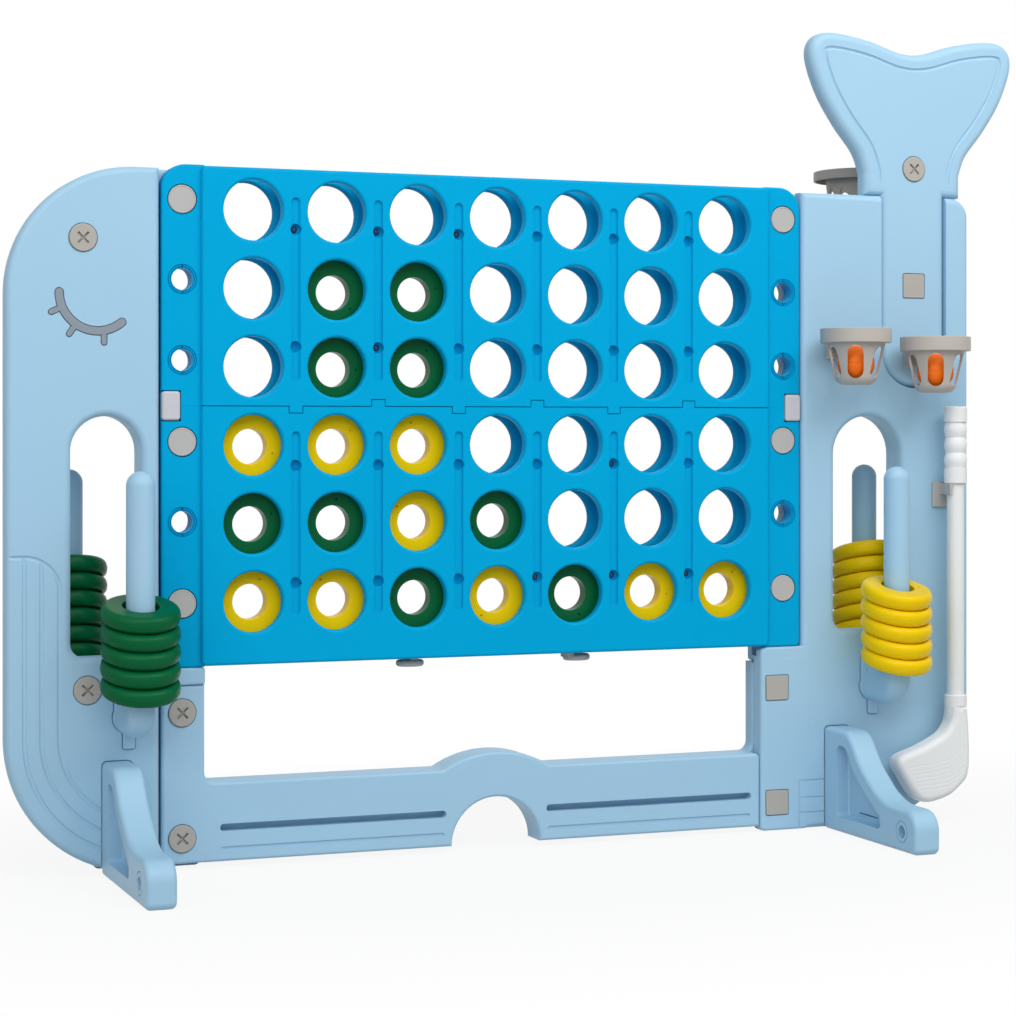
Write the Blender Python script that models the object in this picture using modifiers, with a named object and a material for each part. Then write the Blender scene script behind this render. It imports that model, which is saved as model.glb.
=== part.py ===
"""A giant four in a row for the lawn, shaped like a whale, with its rings, balls and stick.

The board stands between two side panels on a base crossbar. X runs along the board, the front
faces -Y, and Z is up from the ground. The origin is on the ground under the middle of the set.
"""
import math

import bmesh
import bpy
from mathutils import Matrix, Vector

# Driving dimensions, in metres.
FIT_GAP = 0.0003            # between pieces that touch
BOLT_PLAY = 0.0004          # round a bolt in its bore

BOARD_X = -0.06675          # middle of the board
SEAM_Z = 0.528              # seam between the upper and the lower board
COLUMNS = 7
ROWS = 6
COLUMN_PITCH = 0.100
ROW_PITCH = 0.090
SIDE_MARGIN = 0.106         # outer column to the board's edge
TOP_MARGIN = 0.050          # top row to the board's edge
BOTTOM_MARGIN = 0.073       # bottom row to the board's edge
WEB = 0.012                 # wall in front of the rings and behind them
RING_SIDE_PLAY = 0.0004     # ring to the rib beside it
RING_FACE_PLAY = 0.0031     # ring to the wall in front of it
VIEW_HOLE = 0.070           # hole in the wall at each ring
CORNER_RADIUS = 0.028       # top corners of the board

RING_DIAMETER = 0.0892
RING_BORE = 0.037
RING_HEIGHT = 0.0193
RING_WAIST = 0.0030         # hollow between two rings of a pile
RING_CROWN = 0.0058         # rounded part of a ring's side, above and below
RING_DROP = 0.0005          # lowest ring under the middle of its hole

SIDE_HOLE = 0.022           # through holes in the board's side flanges
SIDE_HOLE_INSET = 0.023     # from the board's edge
SIDE_HOLE_RISES = (0.144, 0.052, -0.132)

CLIP_WIDTH = 0.021          # seam clip
CLIP_HEIGHT = 0.033
CLIP_DEPTH = 0.011

BAR_HEIGHT = 0.014          # release bar under the lowest rings
LAND_WIDTH = 0.009          # rest under each column
RAIL_GAP = 0.0005           # falling ring to a rail of the bar
TAB_COLUMNS = (3, 5)        # columns whose rest carries a thumb tab
TAB_SHIFTS = (-0.002, 0.012)
TAB_LENGTH = 0.034
TAB_DEPTH = 0.026
TAB_THICKNESS = 0.008
TAB_CLEARANCE = 0.0015      # tab to the board's lower edge

PANEL_THICKNESS = 0.048
PANEL_GAP = 0.0025          # board to the panel beside it
PANEL_DROP = 0.005          # panel top under the board top
PANEL_LIFT = 0.001          # panel above the ground
TONGUE_WIDTH = 0.053        # flange of the panel that runs behind the board
SHELF_HEIGHT = 0.020        # shelf on the tongue that carries the board
HEAD_WIDTH = 0.174
HEAD_TOP_RADIUS = 0.146
HEAD_BOTTOM_RADIUS = 0.155
BODY_WIDTH = 0.2415
BODY_TOP_RADIUS = 0.025
BODY_BOTTOM_RADIUS = 0.150

SLOT_FLOOR_RADIUS = 0.016
HEAD_SLOT_INSET = 0.0215    # panel's inner edge to the slot
HEAD_SLOT_WIDTH = 0.079
HEAD_SLOT_TOP = 0.516
HEAD_SLOT_BOTTOM = 0.245
BODY_SLOT_INSET = 0.047
BODY_SLOT_WIDTH = 0.096
BODY_SLOT_TOP = 0.518
BODY_SLOT_BOTTOM = 0.248

STEM_INSET = 0.1605         # panel's inner edge to the middle of the tail
STEM_WIDTH = 0.092
STEM_LENGTH = 0.243         # stem below the panel top
TAIL_THICKNESS = 0.028
TAIL_SET_BACK = 0.001       # tail front behind the panel front
NECK_HALF = 0.070           # half of the neck that stands on the panel
NECK_HEIGHT = 0.028
FLUKE = ((0.080, 0.054), (0.107, 0.088), (0.132, 0.128), (0.147, 0.172),
         (0.140, 0.196), (0.115, 0.204), (0.064, 0.197), (0.022, 0.1845), (0.0, 0.1815))

BASE_LIFT = 0.007           # crossbar above the ground
LEG_WIDTH = 0.050           # front leg of the crossbar, at the head
BODY_LEG = 0.060            # body panel's inner edge to the inner side of its own front leg
BAR_TOP = 0.098             # straight top of the crossbar
BASE_FRONT = 0.002          # crossbar front behind the panel front
BASE_DEPTH = 0.044
HUMP_HALF = 0.068           # hump in the middle of the crossbar
HUMP_RISE = 0.019
ARCH_RADIUS = 0.056
LEG_FILLET = 0.012

FOOT_INSET = 0.049          # panel's inner edge to the middle of the foot
FOOT_WIDTH = 0.034
FOOT_REACH = 0.221
FOOT_HEIGHT = 0.128
TOE_HEIGHT = 0.058
TOE_RADIUS = 0.020
FOOT_FRAME = 0.022          # wall round the hollow in the side of the foot
FOOT_WEB = 0.004            # floor of the hollow
FOOT_BROW = ((0.30, 0.88), (0.45, 0.52), (0.64, 0.16))   # shares of the brow's run and rise
HOLLOW_SLOPE = ((0.19, 0.69), (0.34, 0.28), (0.62, -0.43))
TOE_HOLE = 0.015
TOE_HOLE_BACK = 0.048       # hole behind the tip of the toe
TOE_HOLE_RISE = 0.029

PEG_DIAMETER = 0.032
PEG_LENGTH = 0.254          # seat to tip
PEG_SEAT_Z = 0.201
PEG_REACH = 0.061           # panel face to the peg's axis
PEG_SEAT_RADIUS = 0.026
PEG_BULB = 0.044            # bulb under the seat
PEG_PLATE = 0.013           # plate on the panel
PEG_PLATE_WIDTH = 0.036
PEG_PLATE_RISE = 0.026      # plate above the seat
PEG_TAB = 0.015             # tab under the plate
PEG_TAB_WIDTH = 0.011
PEG_ARM_WIDTH = 0.0324      # arm from the plate to the bulb
PEG_ARM_HEIGHT = 0.0273
PEG_ARM_DROP = 0.0035       # arm under the seat
HEAD_PEG_INSETS = (0.036, 0.0825)    # front and rear peg on the head panel
BODY_PEG_INSETS = (0.0995, 0.1495)
FRONT_PILE = 5
REAR_PILE = 7

BOLT_HEAD = 0.027
BOLT_HEAD_HEIGHT = 0.0035
BOLT_SHANK = 0.008
NUT_WIDTH = 0.026
NUT_HEIGHT = 0.0035
SINK = 0.003                # recess under a bolt head or a nut
BLIND_DEPTH = 0.009         # bolt in the plate of a peg or of the hoop
HEAD_BOLT_INSET = 0.0875
HEAD_BOLT_DROP = 0.082      # below the panel top
PEG_BOLT_RISE = 0.008       # peg bolt above the seat
HEAD_LEG_BOLT_INSET = 0.0235    # board edge to the leg bolts
BODY_LEG_BOLT_INSET = 0.0325
LEG_BOLT_DROP = 0.031       # upper leg bolt under the top of the leg
LEG_BOLT_RISE = 0.029       # lower leg bolt above the foot of the leg
HOOP_BOLT_RISE = 0.035      # above the panel top
STEM_BOLT_DROP = 0.114      # below the panel top

INNER_CUP_INSET = 0.0455    # panel's inner edge to the inner cup
INNER_CUP_DROP = 0.172      # rim of the inner cup below the panel top
OUTER_CUP_SHIFT = -0.002    # middle of the tail to the outer cup
OUTER_CUP_DROP = 0.181
CUP_REACH = 0.055           # panel face to the cup's axis
CUP_RIM_RADIUS = 0.044
CUP_RIM_HEIGHT = 0.018
CUP_TOP_RADIUS = 0.0365
CUP_FOOT_RADIUS = 0.0285
CUP_HEIGHT = 0.070
CUP_WALL = 0.003
CUP_FOOT_BEVEL = 0.0045
CUP_BRACKET_WIDTH = 0.024
CUP_BRACKET_HEIGHT = 0.021
CUP_BRACKET_DROP = 0.003    # bracket under the rim's top
BALL_DIAMETER = 0.042

HOOP_REACH = 0.105          # tail back to the hoop's axis
HOOP_RIM_RADIUS = 0.064
HOOP_RIM_WIDTH = 0.012
HOOP_RIM_HEIGHT = 0.013
HOOP_RISE = 0.044           # rim above the panel top
NET_DEPTH = 0.055
NET_FOOT_RADIUS = 0.047
NET_WALL = 0.003
HOOP_PLATE = 0.012          # plate behind the tail
HOOP_PLATE_WIDTH = 0.040
HOOP_PLATE_HEIGHT = 0.037
HOOP_ARM_WIDTH = 0.028
HOOP_ARM_HEIGHT = 0.0104

STICK_INSET = 0.036         # panel's outer edge to the stick
STICK_REACH = 0.026         # panel face to the stick's axis
STICK_DIAMETER = 0.023
GRIP_DIAMETER = 0.029
GRIP_LENGTH = 0.098
GRIP_COLLAR = 0.0196        # plain band at each end of the grip
GRIP_BULGES = 3
GRIP_WAIST = 0.0013         # hollow between two bulges
GRIP_SLEEVE = 0.080         # depth of the shaft in the grip
STICK_DROP = 0.268          # grip to the top of the blade's socket
SOCKET_DIAMETER = 0.031
SOCKET_HEIGHT = 0.014
SOCKET_DEPTH = 0.024
BLADE_LENGTH = 0.107
BLADE_THICKNESS = 0.026
BLADE_HEIGHT = 0.136        # socket top to the sole of the blade
HEEL_RADIUS = 0.045
HEEL_TURN = 80              # degrees
TOE_BEVEL = 0.017           # corners of the blade's tip
TIP_RISE = 0.051            # upper end of the tip's straight edge
BROW_RISES = (0.0714, 0.0816, 0.102)     # upper edge at the tip, in the middle and at the shaft
HANGER_TOP_Z = 0.432
HANGER_HEIGHT = 0.014
HANGER_WALL = 0.0035
HANGER_PLATE = 0.004
HANGER_PLATE_HEIGHT = 0.030
HANGER_PLATE_LEFT = 0.021   # plate beside the stick
HANGER_ARM = 0.019          # width of the arm behind the stick

EYE_INSET = 0.0713          # panel's inner edge to the eye
EYE_DROP = 0.1864           # lowest point of the lid below the panel top
EYE_RADIUS = 0.043
EYE_WIDTH = 0.010
EYE_THICKNESS = 0.0015
LASH_LENGTH = 0.0165
LASH_WIDTH = 0.007
LASH_SHARES = (0.17, 0.43, 0.75)    # along the lid from its outer end
EYE_TURN = math.radians(-25)
EYE_HALF_ANGLE = math.radians(65)

# Grid rings, by row from the top and column from the left.
GREEN_CELLS = {(2, 2), (2, 3), (3, 2), (3, 3), (5, 1), (5, 2), (5, 4), (6, 3), (6, 5)}
YELLOW_CELLS = {(4, 1), (4, 2), (4, 3), (5, 3), (6, 1), (6, 2), (6, 4), (6, 6), (6, 7)}

HOLE_SIDES = 12
RING_SIDES = 14
PEG_SIDES = 12
CUP_SIDES = 16
BOLT_SIDES = 12

# Sizes that follow from the driving dimensions.
RING_RADIUS = RING_DIAMETER / 2
RING_SLOT = RING_HEIGHT + 2 * RING_FACE_PLAY
CHANNEL_WIDTH = RING_DIAMETER + 2 * RING_SIDE_PLAY
BOARD_HALF = (COLUMNS - 1) / 2 * COLUMN_PITCH + SIDE_MARGIN
BOARD_FACE = RING_SLOT / 2 + WEB
ROW_SPAN = (ROWS - 1) / 2 * ROW_PITCH
BOARD_TOP = SEAM_Z + ROW_SPAN + TOP_MARGIN
BOARD_BOTTOM = SEAM_Z - ROW_SPAN - BOTTOM_MARGIN
PANEL_FACE = PANEL_THICKNESS / 2
PANEL_TOP = BOARD_TOP - PANEL_DROP
HEAD_EDGE = BOARD_X - BOARD_HALF - PANEL_GAP
BODY_EDGE = BOARD_X + BOARD_HALF + PANEL_GAP
BACK_BOARD_HALF = BOARD_HALF + PANEL_GAP - TONGUE_WIDTH - FIT_GAP
LEG_TOP = BOARD_BOTTOM - SHELF_HEIGHT
LAND_TOP = SEAM_Z - ROW_SPAN - RING_DROP - RING_RADIUS - FIT_GAP
LEDGE_TOP = LAND_TOP - BAR_HEIGHT - FIT_GAP
BAR_HALF = (COLUMNS - 1) / 2 * COLUMN_PITCH + LAND_WIDTH / 2
RELEASE_TRAVEL = COLUMN_PITCH / 2
TAIL_X = BODY_EDGE + STEM_INSET
TAIL_FRONT = -PANEL_FACE + TAIL_SET_BACK
TAIL_BACK = TAIL_FRONT + TAIL_THICKNESS
STICK_X = BODY_EDGE + BODY_WIDTH - STICK_INSET
STICK_Y = -PANEL_FACE - STICK_REACH

# Ways to lay a flat outline: its two axes and its thickness in the part's axes.
SEEN_FROM_FRONT = Matrix(((1, 0, 0, 0), (0, 0, -1, 0), (0, 1, 0, 0), (0, 0, 0, 1)))
SEEN_FROM_SIDE = Matrix(((0, 0, 1, 0), (1, 0, 0, 0), (0, 1, 0, 0), (0, 0, 0, 1)))
SEEN_FROM_TOP = Matrix.Identity(4)
ALONG_Y = Matrix.Rotation(math.radians(90), 4, "X")


def clear_scene():
    for obj in list(bpy.data.objects):
        bpy.data.objects.remove(obj, do_unlink=True)


def new_collection(name):
    collection = bpy.data.collections.new(name)
    bpy.context.scene.collection.children.link(collection)
    return collection


def plastic(name, colour, roughness, metallic=0.0):
    material = bpy.data.materials.new(name)
    material.use_nodes = True
    shader = material.node_tree.nodes["Principled BSDF"]
    shader.inputs["Base Color"].default_value = (*colour, 1.0)
    shader.inputs["Roughness"].default_value = roughness
    shader.inputs["Metallic"].default_value = metallic
    return material


clear_scene()
PARTS = new_collection("giant_four_in_a_row")
CUTTERS = new_collection("cutters")
SKY_BLUE = plastic("sky_blue_plastic", (0.38, 0.62, 0.80), 0.40)
BOARD_BLUE = plastic("board_blue_plastic", (0.001, 0.376, 0.686), 0.38)
GREEN = plastic("green_ring_plastic", (0.001, 0.174, 0.069), 0.30)
YELLOW = plastic("yellow_ring_plastic", (0.840, 0.558, 0.002), 0.30)
GREY = plastic("grey_fitting_plastic", (0.47, 0.46, 0.45), 0.45)
WARM_GREY = plastic("warm_grey_plastic", (0.43, 0.41, 0.38), 0.45)
DARK_GREY = plastic("eye_grey_plastic", (0.26, 0.28, 0.30), 0.45)
ORANGE = plastic("orange_ball_plastic", (1.0, 0.156, 0.007), 0.40)
WHITE = plastic("white_stick_plastic", (0.80, 0.79, 0.79), 0.35)


def add_part(name, mesh, material, place=None):
    obj = bpy.data.objects.new(name, mesh)
    PARTS.objects.link(obj)
    obj.matrix_world = place or Matrix.Identity(4)
    mesh.materials.clear()
    mesh.materials.append(material)
    return obj


def make_tool(obj):
    """Hides a solid that only cuts, or is joined to, another one."""
    PARTS.objects.unlink(obj)
    CUTTERS.objects.link(obj)
    obj.hide_render = True
    obj.display_type = "WIRE"
    return obj


def combine(target, tool, operation):
    if tool.name in PARTS.objects:
        make_tool(tool)
    boolean = target.modifiers.new(operation.lower(), "BOOLEAN")
    boolean.operation = operation
    boolean.solver = "EXACT"
    boolean.object = tool


def cut(target, *tools):
    for tool in tools:
        combine(target, tool, "DIFFERENCE")


def join(target, *tools):
    for tool in tools:
        combine(target, tool, "UNION")


def slab(name, outline, low, high, lying, material):
    """A flat outline with a thickness from low to high along the axis that it faces."""
    curve = bpy.data.curves.new(name, "CURVE")
    curve.dimensions = "2D"
    curve.fill_mode = "BOTH"
    curve.extrude = (high - low) / 2
    spline = curve.splines.new("POLY")
    spline.points.add(len(outline) - 1)
    for point, (across, up) in zip(spline.points, outline):
        point.co = (across, up, 0.0, 1.0)
    spline.use_cyclic_u = True
    drawing = bpy.data.objects.new(name, curve)
    PARTS.objects.link(drawing)
    axis = lying.to_3x3() @ Vector((0, 0, 1))
    middle = (low + high) / 2
    place = Matrix.Translation(middle * Vector([abs(part) for part in axis])) @ lying
    drawing.matrix_world = place
    bpy.context.view_layer.update()
    drawn = drawing.evaluated_get(bpy.context.evaluated_depsgraph_get())
    mesh = bpy.data.meshes.new_from_object(drawn)
    bpy.data.objects.remove(drawing)
    bpy.data.curves.remove(curve)
    weld(mesh)
    return add_part(name, mesh, material, place)


def weld(mesh):
    """Closes the caps of a drawn solid and makes each of them one face."""
    shape = bmesh.new()
    shape.from_mesh(mesh)
    bmesh.ops.remove_doubles(shape, verts=shape.verts, dist=1e-6)
    caps = {face for face in shape.faces if len({round(vert.co.z, 6) for vert in face.verts}) == 1}
    inner = [edge for edge in shape.edges if caps.issuperset(edge.link_faces)]
    bmesh.ops.dissolve_edges(shape, edges=inner, use_verts=False)
    bmesh.ops.recalc_face_normals(shape, faces=shape.faces)
    shape.to_mesh(mesh)
    shape.free()


def box(name, low, high, material=GREY):
    shape = bmesh.new()
    size = Vector(high) - Vector(low)
    middle = (Vector(high) + Vector(low)) / 2
    place = Matrix.Translation(middle) @ Matrix.Diagonal((*size, 1.0))
    bmesh.ops.create_cube(shape, size=1.0, matrix=place)
    mesh = bpy.data.meshes.new(name)
    shape.to_mesh(mesh)
    shape.free()
    return add_part(name, mesh, material)


def round_bars(name, spots, radius, low, high, sides):
    """Round bars along Y, one at each spot (x, z)."""
    shape = bmesh.new()
    for x, z in spots:
        place = Matrix.Translation((x, (low + high) / 2, z)) @ ALONG_Y
        bmesh.ops.create_cone(shape, cap_ends=True, segments=sides, radius1=radius, radius2=radius,
                              depth=high - low, matrix=place)
    mesh = bpy.data.meshes.new(name)
    shape.to_mesh(mesh)
    shape.free()
    return add_part(name, mesh, GREY)


def turned(name, profile, sides, material, place, closed=False):
    """A profile of (radius, height) points, down its outer side, turned about its own axis."""
    mesh = bpy.data.meshes.new(name)
    edges = [(i, i + 1) for i in range(len(profile) - 1)]
    if closed:
        edges.append((len(profile) - 1, 0))
    mesh.from_pydata([(radius, 0.0, height) for radius, height in profile], edges, [])
    obj = add_part(name, mesh, material, place)
    screw = obj.modifiers.new("turn", "SCREW")
    screw.angle = math.tau
    screw.steps = sides
    screw.render_steps = sides
    screw.use_merge_vertices = True
    screw.merge_threshold = 1e-5
    screw.use_normal_calculate = False
    return obj


def arc(centre, radius, start, end, steps):
    """Points on an arc, with its angles in degrees."""
    points = []
    for i in range(steps + 1):
        angle = math.radians(start + (end - start) * i / steps)
        points.append((centre[0] + radius * math.cos(angle), centre[1] + radius * math.sin(angle)))
    return points


def smooth_run(points, steps):
    """A smooth run of points through the given ones."""
    run = []
    for i in range(len(points) - 1):
        before = Vector(points[max(i - 1, 0)])
        start = Vector(points[i])
        end = Vector(points[i + 1])
        after = Vector(points[min(i + 2, len(points) - 1)])
        for step in range(steps):
            t = step / steps
            bend = (2 * start + (end - before) * t
                    + (2 * before - 5 * start + 4 * end - after) * t ** 2
                    + (3 * start - before - 3 * end + after) * t ** 3) / 2
            run.append(tuple(bend))
    run.append(tuple(points[-1]))
    return run


def mirrored(points, middle=0.0):
    return [(2 * middle - x, z) for x, z in points]


def column_x(column):
    return BOARD_X + (column - (COLUMNS + 1) / 2) * COLUMN_PITCH


def row_z(row):
    return SEAM_Z + ((ROWS + 1) / 2 - row) * ROW_PITCH


def board_half(name, half_width, side, low, high, rows):
    """A moulded half of a board: a wall with ribs that meet the other half between columns."""
    meet = side * FIT_GAP / 2
    wall = side * RING_SLOT / 2
    face = side * BOARD_FACE
    outline = [(BOARD_X + half_width, meet)]
    for column in range(COLUMNS, 0, -1):
        right = column_x(column) + CHANNEL_WIDTH / 2
        left = column_x(column) - CHANNEL_WIDTH / 2
        outline += [(right, meet), (right, wall), (left, wall), (left, meet)]
    outline += [(BOARD_X - half_width, meet), (BOARD_X - half_width, face),
                (BOARD_X + half_width, face)]
    board = slab(name, outline, low, high, SEEN_FROM_TOP, BOARD_BLUE)
    spots = [(column_x(column), row_z(row)) for row in rows for column in range(1, COLUMNS + 1)]
    ends = sorted((0.0, 2 * face))
    cut(board, round_bars(name + "_holes", spots, VIEW_HOLE / 2, ends[0], ends[1], HOLE_SIDES))
    return board


def round_corner(board, side):
    """Rounds a top corner of the front board."""
    corner_x = BOARD_X + side * BOARD_HALF
    centre = (corner_x - side * CORNER_RADIUS, BOARD_TOP - CORNER_RADIUS)
    turn = (0, 90) if side > 0 else (180, 90)
    past = CORNER_RADIUS / 4
    outline = arc(centre, CORNER_RADIUS, turn[0], turn[1], 5)
    outline += [(centre[0], BOARD_TOP + past), (corner_x + side * past, BOARD_TOP + past),
                (corner_x + side * past, centre[1])]
    cut(board, slab("corner_cut", outline, -2 * BOARD_FACE, 0.0, SEEN_FROM_FRONT, GREY))


def make_boards():
    upper_rows = range(1, ROWS // 2 + 1)
    lower_rows = range(ROWS // 2 + 1, ROWS + 1)
    upper = (SEAM_Z + FIT_GAP / 2, BOARD_TOP)
    lower = (BOARD_BOTTOM, SEAM_Z - FIT_GAP / 2)
    upper_front = board_half("upper_front_board", BOARD_HALF, -1, *upper, upper_rows)
    upper_back = board_half("upper_back_board", BACK_BOARD_HALF, 1, *upper, upper_rows)
    lower_front = board_half("lower_front_board", BOARD_HALF, -1, *lower, lower_rows)
    lower_back = board_half("lower_back_board", BACK_BOARD_HALF, 1, *lower, lower_rows)
    round_corner(upper_front, -1)
    round_corner(upper_front, 1)
    return upper_front, upper_back, lower_front, lower_back


def side_holes():
    """Cutter for the through holes in the board's flanges and in the tongues behind them."""
    spots = []
    for side in (-1, 1):
        x = BOARD_X + side * (BOARD_HALF - SIDE_HOLE_INSET)
        spots += [(x, SEAM_Z + rise) for rise in SIDE_HOLE_RISES]
    return round_bars("side_holes", spots, SIDE_HOLE / 2, -2 * BOARD_FACE, 2 * BOARD_FACE, HOLE_SIDES)


def seam_clip(name, side, boards):
    """A clip let into the board's edge across the seam."""
    outer = BOARD_X + side * BOARD_HALF
    inner = outer - side * CLIP_WIDTH
    left, right = sorted((outer, inner))
    low = SEAM_Z - CLIP_HEIGHT / 2
    high = SEAM_Z + CLIP_HEIGHT / 2
    box(name, (left, -BOARD_FACE, low), (right, -BOARD_FACE + CLIP_DEPTH, high), GREY)
    left, right = sorted((outer + side * CLIP_WIDTH, inner - side * FIT_GAP))
    pocket = box(name + "_pocket", (left, -2 * BOARD_FACE, low - FIT_GAP),
                 (right, -BOARD_FACE + CLIP_DEPTH + FIT_GAP, high + FIT_GAP))
    for board in boards:
        cut(board, pocket)


def release_tunnel():
    """Cutters for the room in which the release bar slides, and for the way out below it."""
    left = BOARD_X - BAR_HALF - LAND_WIDTH
    right = BOARD_X + BAR_HALF + RELEASE_TRAVEL + LAND_WIDTH
    depth = RING_SLOT / 2 + FIT_GAP
    mouth = RING_HEIGHT / 2 + RAIL_GAP
    room = box("release_room", (left, -depth, LEDGE_TOP), (right, depth, LAND_TOP + 2 * FIT_GAP))
    drop = box("release_drop", (left, -mouth, BOARD_BOTTOM - BAR_HEIGHT),
               (right, mouth, LEDGE_TOP + FIT_GAP))
    return room, drop


def make_release_bar():
    """A ladder whose rests stop the columns, and let the rings fall when it is slid half a pitch."""
    depth = RING_SLOT / 2 - FIT_GAP
    mouth = RING_HEIGHT / 2 + RAIL_GAP
    low = LAND_TOP - BAR_HEIGHT
    bar = box("release_bar", (BOARD_X - BAR_HALF, -depth, low), (BOARD_X + BAR_HALF, depth, LAND_TOP),
              GREY)
    for column in range(1, COLUMNS):
        left = column_x(column) + LAND_WIDTH / 2
        right = column_x(column + 1) - LAND_WIDTH / 2
        cut(bar, box("bar_window", (left, -mouth, low - BAR_HEIGHT), (right, mouth, LAND_TOP + BAR_HEIGHT)))
    tab_top = BOARD_BOTTOM - TAB_CLEARANCE
    tab_low = tab_top - TAB_THICKNESS
    for column, shift in zip(TAB_COLUMNS, TAB_SHIFTS):
        x = column_x(column)
        stem_half = mouth - FIT_GAP
        join(bar, box("tab_stem", (x - LAND_WIDTH / 2, -stem_half, tab_low + TAB_THICKNESS / 2),
                      (x + LAND_WIDTH / 2, stem_half, low + BAR_HEIGHT / 2)))
        oval = [(x + shift + TAB_LENGTH / 2 * math.cos(math.tau * i / HOLE_SIDES),
                 TAB_DEPTH / 2 * math.sin(math.tau * i / HOLE_SIDES)) for i in range(HOLE_SIDES)]
        join(bar, slab("tab_plate", oval, tab_low, tab_top, SEEN_FROM_TOP, GREY))


def slot_cutter(name, left, right, bottom, top):
    """A slot with an arched top and a floor with round corners."""
    half = (right - left) / 2
    outline = arc(((left + right) / 2, top - half), half, 0, 180, 12)
    outline += arc((left + SLOT_FLOOR_RADIUS, bottom + SLOT_FLOOR_RADIUS), SLOT_FLOOR_RADIUS, 180, 270, 4)
    outline += arc((right - SLOT_FLOOR_RADIUS, bottom + SLOT_FLOOR_RADIUS), SLOT_FLOOR_RADIUS, 270, 360, 4)
    return slab(name, outline, -2 * PANEL_FACE, 2 * PANEL_FACE, SEEN_FROM_FRONT, GREY)


def add_tongue(panel, edge, inward):
    """The flange that runs behind the board, with the shelf that carries the board."""
    low = LEG_TOP + FIT_GAP
    left, right = sorted((edge - inward * TONGUE_WIDTH / 2, edge + inward * TONGUE_WIDTH))
    join(panel, box(panel.name + "_tongue", (left, FIT_GAP / 2, low), (right, PANEL_FACE, PANEL_TOP)))
    join(panel, box(panel.name + "_shelf", (left, -PANEL_FACE, low),
                    (right, PANEL_FACE, BOARD_BOTTOM - FIT_GAP)))


def add_leg(panel, edge, inward, reach, facing):
    """The panel's own leg under the board, against a leg of the crossbar: facing is -1 in front."""
    left, right = sorted((edge - inward * reach / 2, edge + inward * reach))
    near, far = sorted((facing * FIT_GAP / 2, facing * PANEL_FACE))
    join(panel, box(panel.name + "_leg", (left, near, PANEL_LIFT), (right, far, BOARD_BOTTOM - FIT_GAP)))


def make_head_panel():
    left = HEAD_EDGE - HEAD_WIDTH
    outline = [(HEAD_EDGE, PANEL_TOP), (HEAD_EDGE, PANEL_LIFT)]
    outline += arc((left + HEAD_BOTTOM_RADIUS, PANEL_LIFT + HEAD_BOTTOM_RADIUS), HEAD_BOTTOM_RADIUS,
                   270, 180, 10)
    outline += arc((left + HEAD_TOP_RADIUS, PANEL_TOP - HEAD_TOP_RADIUS), HEAD_TOP_RADIUS, 180, 90, 10)
    panel = slab("head_side_panel", outline, -PANEL_FACE, PANEL_FACE, SEEN_FROM_FRONT, SKY_BLUE)
    add_tongue(panel, HEAD_EDGE, 1)
    add_leg(panel, HEAD_EDGE, 1, TONGUE_WIDTH, 1)
    right = HEAD_EDGE - HEAD_SLOT_INSET
    cut(panel, slot_cutter("head_slot", right - HEAD_SLOT_WIDTH, right, HEAD_SLOT_BOTTOM, HEAD_SLOT_TOP))
    return panel


def tail_outline(clearance):
    """The stem that sits in the body panel, from its round foot up to the panel's top."""
    half = STEM_WIDTH / 2 + clearance
    low = PANEL_TOP - STEM_LENGTH - clearance
    return arc((TAIL_X, low + half), half, 180, 360, 12)


def make_body_panel():
    right = BODY_EDGE + BODY_WIDTH
    outline = [(BODY_EDGE, PANEL_LIFT), (BODY_EDGE, PANEL_TOP)]
    outline += arc((right - BODY_TOP_RADIUS, PANEL_TOP - BODY_TOP_RADIUS), BODY_TOP_RADIUS, 90, 0, 5)
    outline += arc((right - BODY_BOTTOM_RADIUS, PANEL_LIFT + BODY_BOTTOM_RADIUS), BODY_BOTTOM_RADIUS,
                   360, 270, 10)
    panel = slab("body_side_panel", outline, -PANEL_FACE, PANEL_FACE, SEEN_FROM_FRONT, SKY_BLUE)
    add_tongue(panel, BODY_EDGE, -1)
    add_leg(panel, BODY_EDGE, -1, BODY_LEG, -1)
    left = BODY_EDGE + BODY_SLOT_INSET
    cut(panel, slot_cutter("body_slot", left, left + BODY_SLOT_WIDTH, BODY_SLOT_BOTTOM, BODY_SLOT_TOP))
    half = STEM_WIDTH / 2 + FIT_GAP
    channel = tail_outline(FIT_GAP)
    channel += [(TAIL_X + half, PANEL_TOP + STEM_WIDTH), (TAIL_X - half, PANEL_TOP + STEM_WIDTH)]
    cut(panel, slab("tail_channel", channel, -2 * PANEL_FACE, TAIL_BACK + FIT_GAP, SEEN_FROM_FRONT, GREY))
    return panel


def make_tail():
    shoulder = PANEL_TOP + FIT_GAP
    half = STEM_WIDTH / 2
    side = smooth_run([(NECK_HALF, NECK_HEIGHT), *FLUKE], 3)
    right = [(TAIL_X + half, shoulder), (TAIL_X + NECK_HALF, shoulder)]
    right += [(TAIL_X + x, PANEL_TOP + z) for x, z in side]
    left = mirrored(right, TAIL_X)[-2::-1]
    return slab("tail_backboard", tail_outline(0.0) + right + left, TAIL_FRONT, TAIL_BACK,
                SEEN_FROM_FRONT, SKY_BLUE)


def crossbar_end(outer, inner=None):
    """The right end of the crossbar, plain or with a leg from outer to inner."""
    if inner is None:
        return [(outer, BASE_LIFT), (outer, BAR_TOP)]
    corner = arc((inner - LEG_FILLET, BAR_TOP + LEG_FILLET), LEG_FILLET, 360, 270, 3)
    return [(outer, BASE_LIFT), (outer, LEG_TOP), (inner, LEG_TOP)] + corner


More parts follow.
